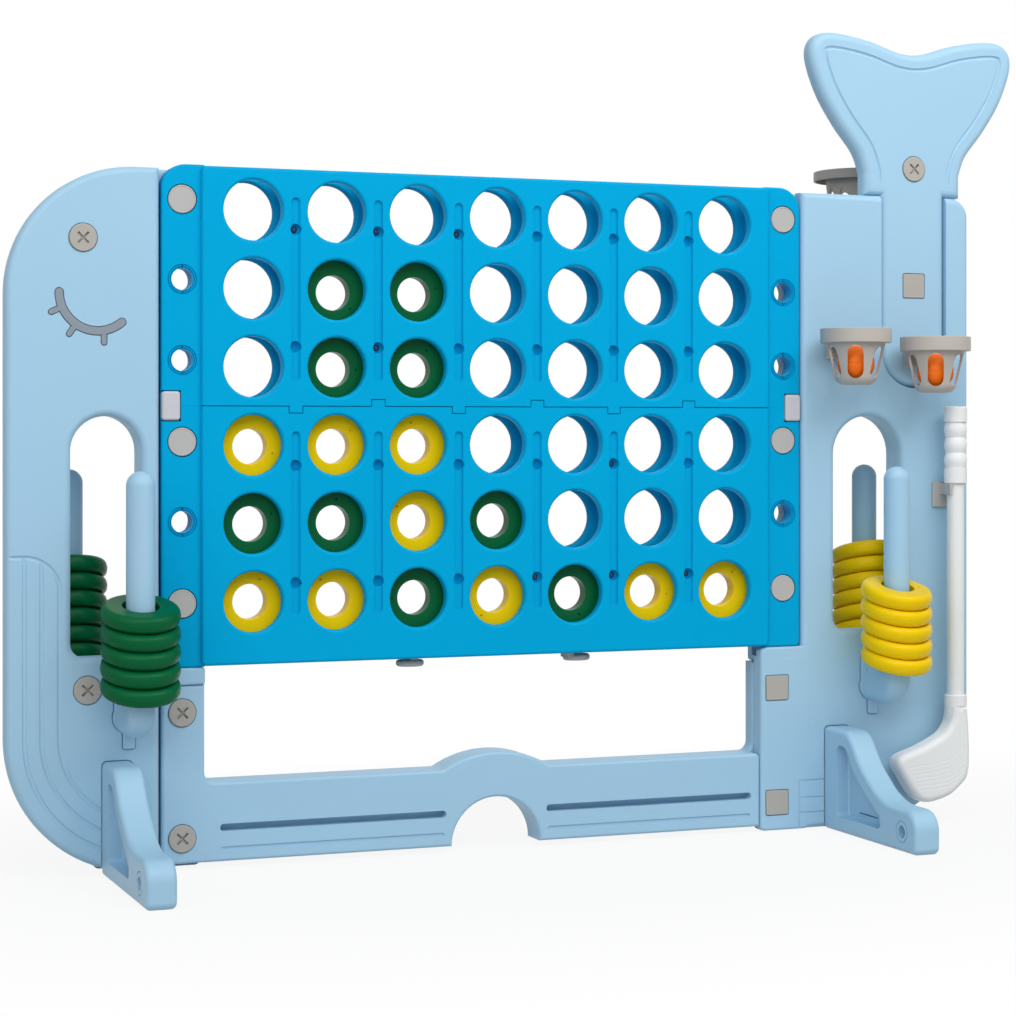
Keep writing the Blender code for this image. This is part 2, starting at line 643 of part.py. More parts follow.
def make_crossbar():
    """A bar with an arch, a leg in front of the head panel's leg and one behind the body panel's."""
    hump_radius = (HUMP_HALF ** 2 + HUMP_RISE ** 2) / (2 * HUMP_RISE)
    hump_centre = (BOARD_X, BAR_TOP + HUMP_RISE - hump_radius)
    spread = math.degrees(math.asin(HUMP_HALF / hump_radius))
    hump = arc(hump_centre, hump_radius, 90 - spread, 90 + spread, 8)
    arch = arc((BOARD_X, BASE_LIFT), ARCH_RADIUS, 180, 0, 12)
    outer = BOARD_X + BOARD_HALF
    head_leg = mirrored(crossbar_end(outer, outer - LEG_WIDTH), BOARD_X)[::-1]
    head_end = mirrored(crossbar_end(BOARD_X + BACK_BOARD_HALF), BOARD_X)[::-1]
    body_leg = crossbar_end(outer, BODY_EDGE - BODY_LEG)
    body_end = crossbar_end(BODY_EDGE - BODY_LEG - FIT_GAP)
    front = -PANEL_FACE + BASE_FRONT
    back = front + BASE_DEPTH
    layers = (("base_crossbar", body_end, head_leg, front, -FIT_GAP / 2),
              ("bar_core", body_end, head_end, front + BASE_FRONT, back - BASE_FRONT),
              ("bar_back", body_leg, head_end, FIT_GAP / 2, back))
    bar, core, rear = [slab(name, arch + right + hump + left, low, high, SEEN_FROM_FRONT, SKY_BLUE)
                       for name, right, left, low, high in layers]
    join(bar, core, rear)
    return bar


def foot_outlines():
    """The side of a foot and of the hollow in it, from the panel outwards."""
    flat = FOOT_REACH - 2 * TOE_RADIUS
    rise = FOOT_HEIGHT - TOE_HEIGHT
    brow = [(FOOT_FRAME, FOOT_HEIGHT)]
    brow += [(flat * run, TOE_HEIGHT + rise * up) for run, up in FOOT_BROW]
    brow.append((flat, TOE_HEIGHT))
    tip = arc((FOOT_REACH - TOE_RADIUS, TOE_HEIGHT - TOE_RADIUS), TOE_RADIUS, 90, 0, 4)
    side = [(0.0, 0.0), (0.0, FOOT_HEIGHT)] + smooth_run(brow, 3) + tip + [(FOOT_REACH, 0.0)]
    slope = smooth_run([(flat * run, TOE_HEIGHT + rise * up) for run, up in HOLLOW_SLOPE], 3)
    hollow = [(FOOT_FRAME, FOOT_FRAME), (FOOT_FRAME, slope[0][1])] + slope + [(slope[-1][0], FOOT_FRAME)]
    return side, hollow


def make_foot(name, middle, facing):
    """A foot against a face of a panel: facing is -1 in front and 1 behind."""
    start = facing * (PANEL_FACE + FIT_GAP)
    side, hollow = foot_outlines()
    low = middle - FOOT_WIDTH / 2
    high = middle + FOOT_WIDTH / 2
    floor = middle - facing * (FOOT_WIDTH / 2 - FOOT_WEB)
    mouth = middle + facing * FOOT_WIDTH

    def placed(points):
        return [(start + facing * out, up) for out, up in points]

    foot = slab(name, placed(side), low, high, SEEN_FROM_SIDE, SKY_BLUE)
    cut(foot, slab(name + "_hollow", placed(hollow), *sorted((floor, mouth)), SEEN_FROM_SIDE, GREY))
    centre = (start + facing * (FOOT_REACH - TOE_HOLE_BACK), TOE_HOLE_RISE)
    hole = arc(centre, TOE_HOLE / 2, 0, 315, 7)
    cut(foot, slab(name + "_hole", hole, low - FOOT_WIDTH, high + FOOT_WIDTH, SEEN_FROM_SIDE, GREY))


def make_peg(name, x, facing):
    """A peg that stands off a face of a panel on a plate and a bulb."""
    radius = PEG_DIAMETER / 2
    face = facing * (PANEL_FACE + FIT_GAP)
    axis_y = facing * (PANEL_FACE + PEG_REACH)
    dome = arc((0.0, PEG_LENGTH - radius), radius, 90, 0, 4)
    bulb = arc((0.0, 0.0), 1.0, 0, -90, 4)
    profile = dome + [(radius, 0.0)]
    profile += [(PEG_SEAT_RADIUS * across, PEG_BULB * up) for across, up in bulb]
    profile[0] = (0.0, PEG_LENGTH)
    profile[-1] = (0.0, -PEG_BULB)
    peg = turned(name, profile, PEG_SIDES, SKY_BLUE, Matrix.Translation((x, axis_y, PEG_SEAT_Z)))
    half = PEG_PLATE_WIDTH / 2
    low = PEG_SEAT_Z - PEG_BULB
    outline = [(x - half, PEG_SEAT_Z + PEG_PLATE_RISE), (x - half, low + half),
               (x - PEG_TAB_WIDTH / 2, low), (x - PEG_TAB_WIDTH / 2, low - PEG_TAB),
               (x + PEG_TAB_WIDTH / 2, low - PEG_TAB), (x + PEG_TAB_WIDTH / 2, low),
               (x + half, low + half), (x + half, PEG_SEAT_Z + PEG_PLATE_RISE)]
    ends = sorted((face, face + facing * PEG_PLATE))
    plate = slab(name + "_plate", outline, ends[0], ends[1], SEEN_FROM_FRONT, SKY_BLUE)
    ends = sorted((face + facing * PEG_PLATE / 2, axis_y))
    half = PEG_ARM_WIDTH / 2
    top = PEG_SEAT_Z - PEG_ARM_DROP
    arm = box(name + "_arm", (x - half, ends[0], top - PEG_ARM_HEIGHT), (x + half, ends[1], top))
    join(peg, arm, plate)
    return peg


def make_pile(name, x, facing, count, material):
    """A pile of rings on a peg."""
    bore = RING_BORE / 2
    profile = []
    for ring in range(count, 0, -1):
        top = ring * RING_HEIGHT
        profile += [(RING_RADIUS - RING_WAIST, top), (RING_RADIUS, top - RING_CROWN),
                    (RING_RADIUS, top - RING_HEIGHT + RING_CROWN)]
    profile += [(RING_RADIUS - RING_WAIST, 0.0), (bore, 0.0), (bore, count * RING_HEIGHT)]
    place = Matrix.Translation((x, facing * (PANEL_FACE + PEG_REACH), PEG_SEAT_Z + FIT_GAP))
    turned(name, profile, RING_SIDES, material, place, closed=True)


def make_grid_rings():
    """The rings in the board, each on the one below it."""
    half = RING_HEIGHT / 2
    middle = (RING_BORE / 2 + RING_RADIUS) / 2
    reach = RING_RADIUS - middle
    profile = [(middle + reach * math.sin(angle), half * math.cos(angle) / math.cos(math.radians(30)))
               for angle in [math.radians(30 + 60 * i) for i in range(6)]]
    stretch = reach / max(across - middle for across, up in profile)
    profile = [(middle + (across - middle) * stretch, up) for across, up in profile]
    for row, column in sorted(GREEN_CELLS | YELLOW_CELLS):
        material = GREEN if (row, column) in GREEN_CELLS else YELLOW
        z = LAND_TOP + FIT_GAP + RING_RADIUS + (ROWS - row) * (RING_DIAMETER + FIT_GAP)
        place = Matrix.Translation((column_x(column), 0.0, z)) @ ALONG_Y
        turned(f"ring_row{row}_column{column}", profile, RING_SIDES, material, place, closed=True)


def add_bolt(name, x, z, head_y, end_y, through, nut):
    """A bolt along Y from its head to its nut, or to a blind end, with its bores and recesses."""
    way = 1 if end_y > head_y else -1
    reach = abs(end_y - head_y)
    head_top = BOLT_HEAD_HEIGHT - SINK + FIT_GAP
    radius = BOLT_SHANK / 2
    under = -SINK + FIT_GAP
    tip = -reach + (SINK - FIT_GAP - NUT_HEIGHT / 2 if nut else 0.0)
    profile = [(0.0, head_top), (BOLT_HEAD / 2, head_top), (BOLT_HEAD / 2, under), (radius, under),
               (radius, tip), (0.0, tip)]
    turn = Matrix.Rotation(math.radians(90 * way), 4, "X")
    bolt = turned(name, profile, BOLT_SIDES, GREY, Matrix.Translation((x, head_y, z)) @ turn)
    low, high = sorted((head_y - way * SINK, head_y + way * SINK))
    sink = round_bars(name + "_sink", [(x, z)], BOLT_HEAD / 2 + FIT_GAP, low, high, BOLT_SIDES)
    low, high = sorted((head_y, end_y + way * (SINK if nut else FIT_GAP)))
    bore = round_bars(name + "_bore", [(x, z)], radius + BOLT_PLAY, low, high, BOLT_SIDES)
    for piece in through:
        cut(piece, bore)
    cut(through[0], sink)
    if nut:
        half = NUT_WIDTH / 2
        low, high = sorted((end_y - way * (SINK - FIT_GAP), end_y - way * (SINK - FIT_GAP - NUT_HEIGHT)))
        join(bolt, box(name + "_nut", (x - half, low, z - half), (x + half, high, z + half)))
        half = NUT_WIDTH / 2 + FIT_GAP
        low, high = sorted((end_y - way * SINK, end_y + way * SINK))
        cut(through[-1], box(name + "_nut_sink", (x - half, low, z - half), (x + half, high, z + half)))


def make_cup(name, x, rim_z, backing):
    """A cup with the bracket that holds its rim against the face behind it."""
    base = rim_z - CUP_HEIGHT
    axis_y = -PANEL_FACE - CUP_REACH
    rim_low = CUP_HEIGHT - CUP_RIM_HEIGHT
    wall = CUP_WALL
    bevel = CUP_FOOT_BEVEL
    inside = [(0.0, wall), (CUP_FOOT_RADIUS - wall - bevel, wall), (CUP_FOOT_RADIUS - wall, wall + bevel),
              (CUP_TOP_RADIUS - wall, rim_low), (CUP_RIM_RADIUS - wall, rim_low + wall),
              (CUP_RIM_RADIUS - wall, CUP_HEIGHT)]
    outside = [(CUP_RIM_RADIUS, CUP_HEIGHT), (CUP_RIM_RADIUS, rim_low), (CUP_TOP_RADIUS, rim_low),
               (CUP_FOOT_RADIUS, bevel), (CUP_FOOT_RADIUS - bevel, 0.0), (0.0, 0.0)]
    cup = turned(name, inside + outside, CUP_SIDES, WARM_GREY, Matrix.Translation((x, axis_y, base)))
    half = CUP_BRACKET_WIDTH / 2
    top = rim_z - CUP_BRACKET_DROP
    join(cup, box(name + "_bracket", (x - half, axis_y + CUP_RIM_RADIUS - wall / 2, top - CUP_BRACKET_HEIGHT),
                  (x + half, backing - FIT_GAP, top)))
    return axis_y, base + wall


def make_ball(name, x, y, floor):
    radius = BALL_DIAMETER / 2
    shape = bmesh.new()
    bmesh.ops.create_icosphere(shape, subdivisions=2, radius=radius)
    mesh = bpy.data.meshes.new(name)
    shape.to_mesh(mesh)
    shape.free()
    add_part(name, mesh, ORANGE, Matrix.Translation((x, y, floor + radius + FIT_GAP)))


def make_hoop():
    """A rim with a moulded net, on a bracket behind the tail."""
    axis_y = TAIL_BACK + HOOP_REACH
    rim_z = PANEL_TOP + HOOP_RISE
    inner = HOOP_RIM_RADIUS - HOOP_RIM_WIDTH
    throat = inner + NET_WALL
    profile = [(HOOP_RIM_RADIUS, 0.0), (HOOP_RIM_RADIUS, -HOOP_RIM_HEIGHT), (throat, -HOOP_RIM_HEIGHT),
               (NET_FOOT_RADIUS, -HOOP_RIM_HEIGHT - NET_DEPTH),
               (NET_FOOT_RADIUS - NET_WALL, -HOOP_RIM_HEIGHT - NET_DEPTH), (inner, -HOOP_RIM_HEIGHT),
               (inner, 0.0)]
    hoop = turned("basket_hoop", profile, CUP_SIDES, WARM_GREY,
                  Matrix.Translation((TAIL_X, axis_y, rim_z)), closed=True)
    half = HOOP_PLATE_WIDTH / 2
    back = TAIL_BACK + FIT_GAP
    plate = box("hoop_plate", (TAIL_X - half, back, rim_z - HOOP_PLATE_HEIGHT),
                (TAIL_X + half, back + HOOP_PLATE, rim_z))
    half = HOOP_ARM_WIDTH / 2
    low = rim_z - (HOOP_RIM_HEIGHT + HOOP_ARM_HEIGHT) / 2
    arm = box("hoop_arm", (TAIL_X - half, back + HOOP_PLATE / 2, low),
              (TAIL_X + half, axis_y - inner - HOOP_RIM_WIDTH / 3, low + HOOP_ARM_HEIGHT))
    join(hoop, arm, plate)
    return hoop


def make_stick():
    """A hockey stick: grip, shaft and blade, hung by its grip on a hanger of the body panel."""
    shaft_radius = STICK_DIAMETER / 2
    grip_radius = GRIP_DIAMETER / 2
    foot = HANGER_TOP_Z + FIT_GAP
    bore = shaft_radius + FIT_GAP
    roof = GRIP_SLEEVE + FIT_GAP
    waist = grip_radius - GRIP_WAIST
    bulge = (GRIP_LENGTH - 2 * GRIP_COLLAR) / GRIP_BULGES
    profile = [(0.0, GRIP_LENGTH), (grip_radius, GRIP_LENGTH), (grip_radius, GRIP_LENGTH - GRIP_COLLAR)]
    for number in range(GRIP_BULGES):
        top = GRIP_LENGTH - GRIP_COLLAR - bulge * number
        profile += [(waist, top - GRIP_WAIST), (grip_radius, top - bulge / 2),
                    (waist, top - bulge + GRIP_WAIST)]
    profile += [(grip_radius, GRIP_COLLAR), (grip_radius, 0.0), (bore, 0.0), (bore, roof), (0.0, roof)]
    turned("stick_grip", profile, PEG_SIDES, WHITE, Matrix.Translation((STICK_X, STICK_Y, foot)))
    socket_top = foot - STICK_DROP
    low = socket_top - SOCKET_DEPTH + FIT_GAP
    shaft = [(0.0, foot + GRIP_SLEEVE), (shaft_radius, foot + GRIP_SLEEVE), (shaft_radius, low), (0.0, low)]
    turned("stick_shaft", shaft, PEG_SIDES, WHITE, Matrix.Translation((STICK_X, STICK_Y, 0.0)))
    make_blade(socket_top, bore)


def make_blade(socket_top, bore):
    socket = SOCKET_DIAMETER / 2
    right = STICK_X + socket
    tip = right - BLADE_LENGTH
    sole = socket_top - BLADE_HEIGHT
    at_tip, at_middle, at_shaft = [sole + rise for rise in BROW_RISES]
    outline = arc((right - HEEL_RADIUS, sole + HEEL_RADIUS), HEEL_RADIUS, 0, -HEEL_TURN, 6)
    outline += [(tip + HEEL_RADIUS, sole), (tip + TOE_BEVEL, sole + TOE_BEVEL), (tip, sole + TIP_RISE),
                (tip + TOE_BEVEL / 2, (sole + TIP_RISE + at_tip) / 2)]
    brow = [(tip + 2 * TOE_BEVEL, at_tip), (tip + BLADE_LENGTH / 2, at_middle),
            (STICK_X - socket, at_shaft), (STICK_X - socket, socket_top - SOCKET_HEIGHT)]
    outline += smooth_run(brow, 3) + [(right, socket_top - SOCKET_HEIGHT)]
    half = BLADE_THICKNESS / 2
    blade = slab("stick_blade", outline, STICK_Y - half, STICK_Y + half, SEEN_FROM_FRONT, WHITE)
    low = socket_top - SOCKET_DEPTH
    collar = [(0.0, socket_top), (socket, socket_top), (socket, low), (0.0, low)]
    axis = Matrix.Translation((STICK_X, STICK_Y, 0.0))
    join(blade, turned("blade_socket", collar, PEG_SIDES, WHITE, axis))
    high = socket_top + SOCKET_DEPTH
    hole = [(0.0, high), (bore, high), (bore, low), (0.0, low)]
    cut(blade, turned("socket_bore", hole, PEG_SIDES, WHITE, axis))


def make_hanger():
    """The fork that the grip hangs on, open in front, with its arm and plate on the body panel."""
    inner = STICK_DIAMETER / 2 + 2 * FIT_GAP
    outer = inner + HANGER_WALL
    low = HANGER_TOP_Z - HANGER_HEIGHT
    back = -PANEL_FACE - FIT_GAP
    axis = Matrix.Translation((STICK_X, STICK_Y, low))
    body = [(0.0, HANGER_HEIGHT), (outer, HANGER_HEIGHT), (outer, 0.0), (0.0, 0.0)]
    hanger = turned("stick_hanger", body, CUP_SIDES, GREY, axis)
    half = HANGER_ARM / 2
    arm = box("hanger_arm", (STICK_X - half, STICK_Y, low), (STICK_X + half, back, HANGER_TOP_Z))
    plate = box("hanger_plate", (STICK_X - HANGER_PLATE_LEFT, back - HANGER_PLATE,
                                 HANGER_TOP_Z - HANGER_PLATE_HEIGHT),
                (STICK_X + half, back, HANGER_TOP_Z + HANGER_PLATE / 2))
    join(hanger, arm, plate)
    high = 2 * HANGER_HEIGHT
    hole = [(0.0, high), (inner, high), (inner, -HANGER_HEIGHT), (0.0, -HANGER_HEIGHT)]
    mouth = box("hanger_mouth", (STICK_X - inner, STICK_Y - 2 * outer, low - HANGER_HEIGHT),
                (STICK_X + inner, STICK_Y, HANGER_TOP_Z + HANGER_HEIGHT))
    cut(hanger, turned("hanger_hole", hole, CUP_SIDES, GREY, axis), mouth)


def make_eye():
    """A closed eye with three lashes, laid on the head panel."""
    centre = Vector((HEAD_EDGE - EYE_INSET, PANEL_TOP - EYE_DROP + EYE_RADIUS))
    middle = math.degrees(EYE_TURN) - 90
    half = math.degrees(EYE_HALF_ANGLE)
    face = -PANEL_FACE - FIT_GAP
    back = face - EYE_THICKNESS
    lid = arc(centre, EYE_RADIUS + EYE_WIDTH / 2, middle - half, middle + half, 10)
    lid += arc(centre, EYE_RADIUS - EYE_WIDTH / 2, middle + half, middle - half, 10)
    eye = slab("sleepy_eye", lid, back, face, SEEN_FROM_FRONT, DARK_GREY)
    for share in LASH_SHARES:
        angle = math.radians(middle - half + share * 2 * half)
        out = Vector((math.cos(angle), math.sin(angle)))
        across = Vector((-out.y, out.x)) * LASH_WIDTH / 2
        start = centre + out * EYE_RADIUS
        end = start + out * LASH_LENGTH
        lash = [start - across, start + across, end + across, end - across]
        join(eye, slab("lash", [tuple(corner) for corner in lash], back, face, SEEN_FROM_FRONT, DARK_GREY))


def build():
    boards = make_boards()
    upper_front, upper_back, lower_front, lower_back = boards
    head = make_head_panel()
    body = make_body_panel()
    tail = make_tail()
    crossbar = make_crossbar()

    holes = side_holes()
    for piece in (upper_front, lower_front, head, body):
        cut(piece, holes)
    seam_clip("head_seam_clip", -1, (upper_front, lower_front))
    seam_clip("body_seam_clip", 1, (upper_front, lower_front))
    tunnel = release_tunnel()
    for piece in (lower_front, lower_back, body):
        cut(piece, *tunnel)
    make_release_bar()

    for name, edge, outward, insets in (("head", HEAD_EDGE, -1, HEAD_PEG_INSETS),
                                        ("body", BODY_EDGE, 1, BODY_PEG_INSETS)):
        colour = GREEN if name == "head" else YELLOW
        for place, facing, inset, count in (("front", -1, insets[0], FRONT_PILE),
                                            ("rear", 1, insets[1], REAR_PILE)):
            make_foot(f"{place}_{name}_foot", edge + outward * FOOT_INSET, facing)
            x = edge + outward * inset
            peg = make_peg(f"{place}_{name}_peg", x, facing)
            make_pile(f"{place}_{name}_ring_pile", x, facing, count, colour)
            if (place, name) == ("rear", "head"):
                add_bolt("peg_bolt", x, PEG_SEAT_Z + PEG_BOLT_RISE, -PANEL_FACE,
                         PANEL_FACE + FIT_GAP + BLIND_DEPTH, (head, peg), nut=False)

    add_bolt("head_bolt", HEAD_EDGE - HEAD_BOLT_INSET, PANEL_TOP - HEAD_BOLT_DROP, -PANEL_FACE, PANEL_FACE,
             (head, head), nut=True)
    leg_front = -PANEL_FACE + BASE_FRONT
    leg_back = leg_front + BASE_DEPTH
    for level, z in (("upper", LEG_TOP - LEG_BOLT_DROP), ("lower", BASE_LIFT + LEG_BOLT_RISE)):
        left = BOARD_X - BOARD_HALF + HEAD_LEG_BOLT_INSET
        right = BOARD_X + BOARD_HALF - BODY_LEG_BOLT_INSET
        add_bolt(f"{level}_head_leg_bolt", left, z, leg_front, PANEL_FACE, (crossbar, head), nut=True)
        add_bolt(f"{level}_body_leg_bolt", right, z, leg_back, -PANEL_FACE, (crossbar, body), nut=True)

    hoop = make_hoop()
    add_bolt("hoop_bolt", TAIL_X, PANEL_TOP + HOOP_BOLT_RISE, TAIL_FRONT, TAIL_BACK + FIT_GAP + BLIND_DEPTH,
             (tail, hoop), nut=False)
    add_bolt("stem_bolt", TAIL_X, PANEL_TOP - STEM_BOLT_DROP, PANEL_FACE, TAIL_FRONT, (body, tail), nut=True)

    for name, x, drop, backing in (("inner", BODY_EDGE + INNER_CUP_INSET, INNER_CUP_DROP, -PANEL_FACE),
                                   ("outer", TAIL_X + OUTER_CUP_SHIFT, OUTER_CUP_DROP, TAIL_FRONT)):
        axis_y, floor = make_cup(f"{name}_ball_cup", x, PANEL_TOP - drop, backing)
        make_ball(f"{name}_ball", x, axis_y, floor)
    make_stick()
    make_hanger()
    make_grid_rings()
    make_eye()


build()
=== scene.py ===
import math

import bpy
from mathutils import Matrix, Vector


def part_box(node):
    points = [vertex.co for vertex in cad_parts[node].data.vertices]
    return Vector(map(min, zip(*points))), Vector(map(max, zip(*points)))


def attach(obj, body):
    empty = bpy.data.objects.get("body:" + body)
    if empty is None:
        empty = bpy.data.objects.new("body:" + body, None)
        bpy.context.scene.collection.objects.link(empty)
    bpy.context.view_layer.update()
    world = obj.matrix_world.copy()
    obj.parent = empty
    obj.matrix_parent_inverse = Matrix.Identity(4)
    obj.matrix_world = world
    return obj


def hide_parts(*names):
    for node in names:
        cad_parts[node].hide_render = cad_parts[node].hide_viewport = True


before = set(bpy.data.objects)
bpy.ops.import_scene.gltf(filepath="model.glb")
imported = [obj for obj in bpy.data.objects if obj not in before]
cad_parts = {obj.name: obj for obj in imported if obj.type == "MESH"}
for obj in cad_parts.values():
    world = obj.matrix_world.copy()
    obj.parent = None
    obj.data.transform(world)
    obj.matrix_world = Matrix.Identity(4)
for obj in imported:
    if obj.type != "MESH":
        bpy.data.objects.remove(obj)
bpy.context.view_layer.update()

# The looks of a whale-shaped giant four in a row. All sizes are in metres, in the frame's axes.

# Places given by the frame.
UPPER_LOW, UPPER_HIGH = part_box("upper_front_board")
LOWER_LOW, LOWER_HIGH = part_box("lower_front_board")
REAR_LOW, REAR_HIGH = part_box("upper_back_board")
HEAD_LOW, HEAD_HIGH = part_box("head_side_panel")
BODY_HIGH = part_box("body_side_panel")[1]
TAIL_LOW, TAIL_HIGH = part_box("tail_backboard")
BASE_LOW, BASE_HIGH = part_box("base_crossbar")
BAR_LOW, BAR_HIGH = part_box("release_bar")
BOARD_X = (UPPER_LOW.x + UPPER_HIGH.x) / 2
BOARD_HALF = (UPPER_HIGH.x - UPPER_LOW.x) / 2
BOARD_TOP = UPPER_HIGH.z
BOARD_BOTTOM = LOWER_LOW.z
BOARD_FACE = UPPER_LOW.y
SEAM_Z = (UPPER_LOW.z + LOWER_HIGH.z) / 2
PANEL_FACE = HEAD_HIGH.y
PANEL_TOP = HEAD_HIGH.z
PANEL_LOW = HEAD_LOW.z
TAIL_X = (TAIL_LOW.x + TAIL_HIGH.x) / 2

FIT_GAP = 0.0003            # between pieces that touch

# Board.
COLUMNS = 7
ROWS = 6
COLUMN_PITCH = 0.100
ROW_PITCH = 0.090
VIEW_HOLE = 0.070
WEB = 0.012                 # wall in front of the rings and behind them
CHANNEL_WIDTH = 0.090       # room for a ring between two ribs
HOLE_ROUNDING = 0.0037
FACE_PROUD = 0.003          # raised field in front of the board's solid
FLANGE_SUNK = 0.0025        # side flange behind it
FIELD_HALF = 0.361
FIELD_MARGIN = 0.0015       # raised field to the board's top and bottom
FLANGE_ROUNDING = 0.003
TOP_CORNER = 0.028
LOW_CORNER = 0.006
GROOVE_WIDTH = 0.0105
GROOVE_DEPTH = 0.0030
GROOVE_SPAN = (0.029, 0.241)        # from the seam, upwards and downwards
RECESS_RISES = (0.0685, 0.204)
RECESS_DIAMETER = 0.0135
RECESS_DEPTH = 0.0095
SCREW_DIAMETER = 0.0075
SCREW_HEIGHT = 0.0022
SCREW_SLOT_FLOOR = 0.6 * SCREW_HEIGHT
SCREW_SLOT_HALF = SCREW_HEIGHT / 6
SCREWS = ((1, 0.204), (2, 0.204), (3, 0.204), (2, 0.0685), (5, -0.0685), (4, -0.204), (5, -0.204),
          (6, -0.204))      # rib and rise of the recesses with a screw
EDGE_SOFTNESS = 0.0008
SEAM_GAP = 0.0001           # between the halves of the board
SEAM_LINE = 0.0010          # open line along the seam's front
SEAM_DEPTH = 0.004
SEAM_TAB = 0.0165           # width of the locking tabs along the seam
SEAM_TAB_HEIGHT = 0.008
CLIP_GAP = 0.0011           # line round a seam clip
CLIP_CORNER = 0.0035
CLIP_ROUNDING = 0.0025
SIDE_INSET = 0.0235         # plugs and side holes from the board's edge
PLUG_DIAMETER = 0.0325
PLUG_GAP = 0.0012
PLUG_DEPTH = 0.006
PLUG_RISES = (0.235, -0.041, -0.225)
SIDE_HOLE = 0.025
SIDE_HOLE_RISES = (0.144, 0.052, -0.132)
TONGUE_HOLE = 0.035         # hole in the tongue behind a side hole
BUSH_DIAMETERS = (0.034, 0.029)     # ring lines round a side hole
BUSH_LINE = 0.0013
BUSH_DEPTH = 0.0018
TICK_WIDTH = 0.0018         # notches above and below a side hole
TICK_DEPTH = 0.005

# Side panels.
PANEL_GAP = 0.0025          # board to the panel beside it
PANEL_ROUNDING = 0.0085
SLOT_STEP = 0.0008          # slot in the rear shell, wider on each side
BACK_INSET = 0.006          # rear shell of a panel inside its front shell
BACK_EDGE_SHARE = 20        # the rear shell's inset at the board is this many times less
TONGUE_WIDTH = 0.053
TONGUE_ROUNDING = 0.003
LEG_ROUNDING = 0.004
SHELF_HEIGHT = 0.020
SKIN_STEP = 0.00012         # legs, tongue and shelf behind the faces that they join
HEAD_EDGE = UPPER_LOW.x - PANEL_GAP
BODY_EDGE = UPPER_HIGH.x + PANEL_GAP
LEG_TOP = BOARD_BOTTOM - SHELF_HEIGHT
HEAD_TOP_RADIUS = 0.146
HEAD_BOTTOM_RADIUS = 0.155
BODY_TOP_RADIUS = 0.025
BODY_BOTTOM_RADIUS = 0.150
BODY_LEG = 0.0575
SLOT_FLOOR_RADIUS = 0.016
HEAD_SLOT = (0.0215, 0.079, 0.245, 0.516)       # inset, width, bottom and top
BODY_SLOT = (0.047, 0.096, 0.248, 0.518)
LINE_RADIUS = 0.0030        # round tool that draws the moulded lines
LINE_LIFT = 0.0012          # middle of the tool in front of the face
BORDER_TOOL = 0.0027        # the same for the tail's border
BORDER_LIFT = 0.0006
BELLY_INSETS = (0.021, 0.040, 0.060)
BELLY_TOP = 0.3585
BELLY_ARC = 0.040
GRILLE_LEFT = 0.3374        # moulded lines by the body's front foot
GRILLE_RIGHT = 0.3735
GRILLE_HEIGHTS = (0.0617, 0.0403, 0.0217)
GRILLE_LINE = 0.0016
GRILLE_DEPTH = 0.0010
SEAT_GAP = 0.0012           # line round a foot in the panel
EYE_CENTRE = Vector((-0.5466, 0.6546))
EYE_RADIUS = 0.043
EYE_WIDTH = 0.0090
EYE_SPAN = (-180, -50)      # degrees
EYE_DEPTH = 0.0035
EYE_PROUD = 0.0006
EYE_ROUNDING = 0.0007
EYE_GAP = 0.0009
LASH_END = 0.0595           # centre of the eye to the tip of a lash
LASH_WIDTH = 0.0060
LASH_SINK = 0.0002          # lash behind the lid
LASHES = ((-157, -155), (-124, -125), (-80, -90))     # degrees along the lid and of the lash

# Tail and crossbar.
STEM_WIDTH = 0.092
STEM_LENGTH = 0.243         # stem below the panel top
STEM_GAP = 0.0011           # line round the stem in the panel
CHANNEL_ROUNDING = 0.0045
TAIL_ROUNDING = 0.0105
NECK_HALF = 0.070
NECK_HEIGHT = 0.028
FLUKE = ((0.080, 0.054), (0.107, 0.088), (0.132, 0.128), (0.147, 0.172),
         (0.140, 0.196), (0.115, 0.204), (0.064, 0.197), (0.022, 0.1845), (0.0, 0.1815))
BORDER_INSET = 0.0205       # moulded line inside the tail's outline
BORDER_LOW = 0.018          # its ends above the panel top
BORDER_SLACK = 0.97         # share of the inset that it keeps where the outline bends
LEG_WIDTH = 0.050
BAR_TOP = 0.098
BAR_CORNER = 0.007
HUMP_HALF = 0.068
HUMP_RISE = 0.019
ARCH_RADIUS = 0.056
LEG_FILLET = 0.012
BASE_ROUNDING = 0.004
BASE_SLOT = (0.068, 0.334, 0.046, 0.0085, 0.014)        # from, to, height, width and depth
BASE_GROOVE = (0.068, 0.334, 0.022, 0.0045, 0.0015)

# Feet and pegs.
FOOT_REACH = 0.221
FOOT_HEIGHT = 0.128
TOE_HEIGHT = 0.0515
TOE_RADIUS = 0.024
SOLE_RADIUS = 0.0085
FOOT_ROUNDING = 0.0062
FOOT_BROW = ((0.036, 0.128), (0.059, 0.1235), (0.0865, 0.0926), (0.1085, 0.0750), (0.1301, 0.0614),
             (0.158, 0.0528))       # outward from the panel, and height
HOLLOW_DEPTH = 0.018
HOLLOW_NEAR = 0.0297        # outward from the panel
HOLLOW_FAR = 0.1377
HOLLOW_LOW = 0.0195
HOLLOW_HIGH = 0.109
HOLLOW_CORNER = 0.006
HOLLOW_TOP_CORNER = 0.0105
HOLLOW_SLOPE = ((0.1366, 0.0350), (0.1202, 0.0454), (0.1018, 0.0575), (0.0831, 0.0716),
                (0.0675, 0.0865), (0.0600, 0.0985), (0.0509, 0.1070))
HOLLOW_ROUNDING = 0.003
SLIT = (0.056, 0.099, 0.0264, 0.0016, 0.006)       # from, to, height, width and depth
TOE_HOLE = 0.0155
TOE_HOLE_BACK = 0.0326
TOE_HOLE_RISE = 0.0243
TOE_RING = 0.0265           # ring line round the toe hole
TOE_RING_LINE = 0.0013
PEG_DIAMETER = 0.032
PEG_LENGTH = 0.254
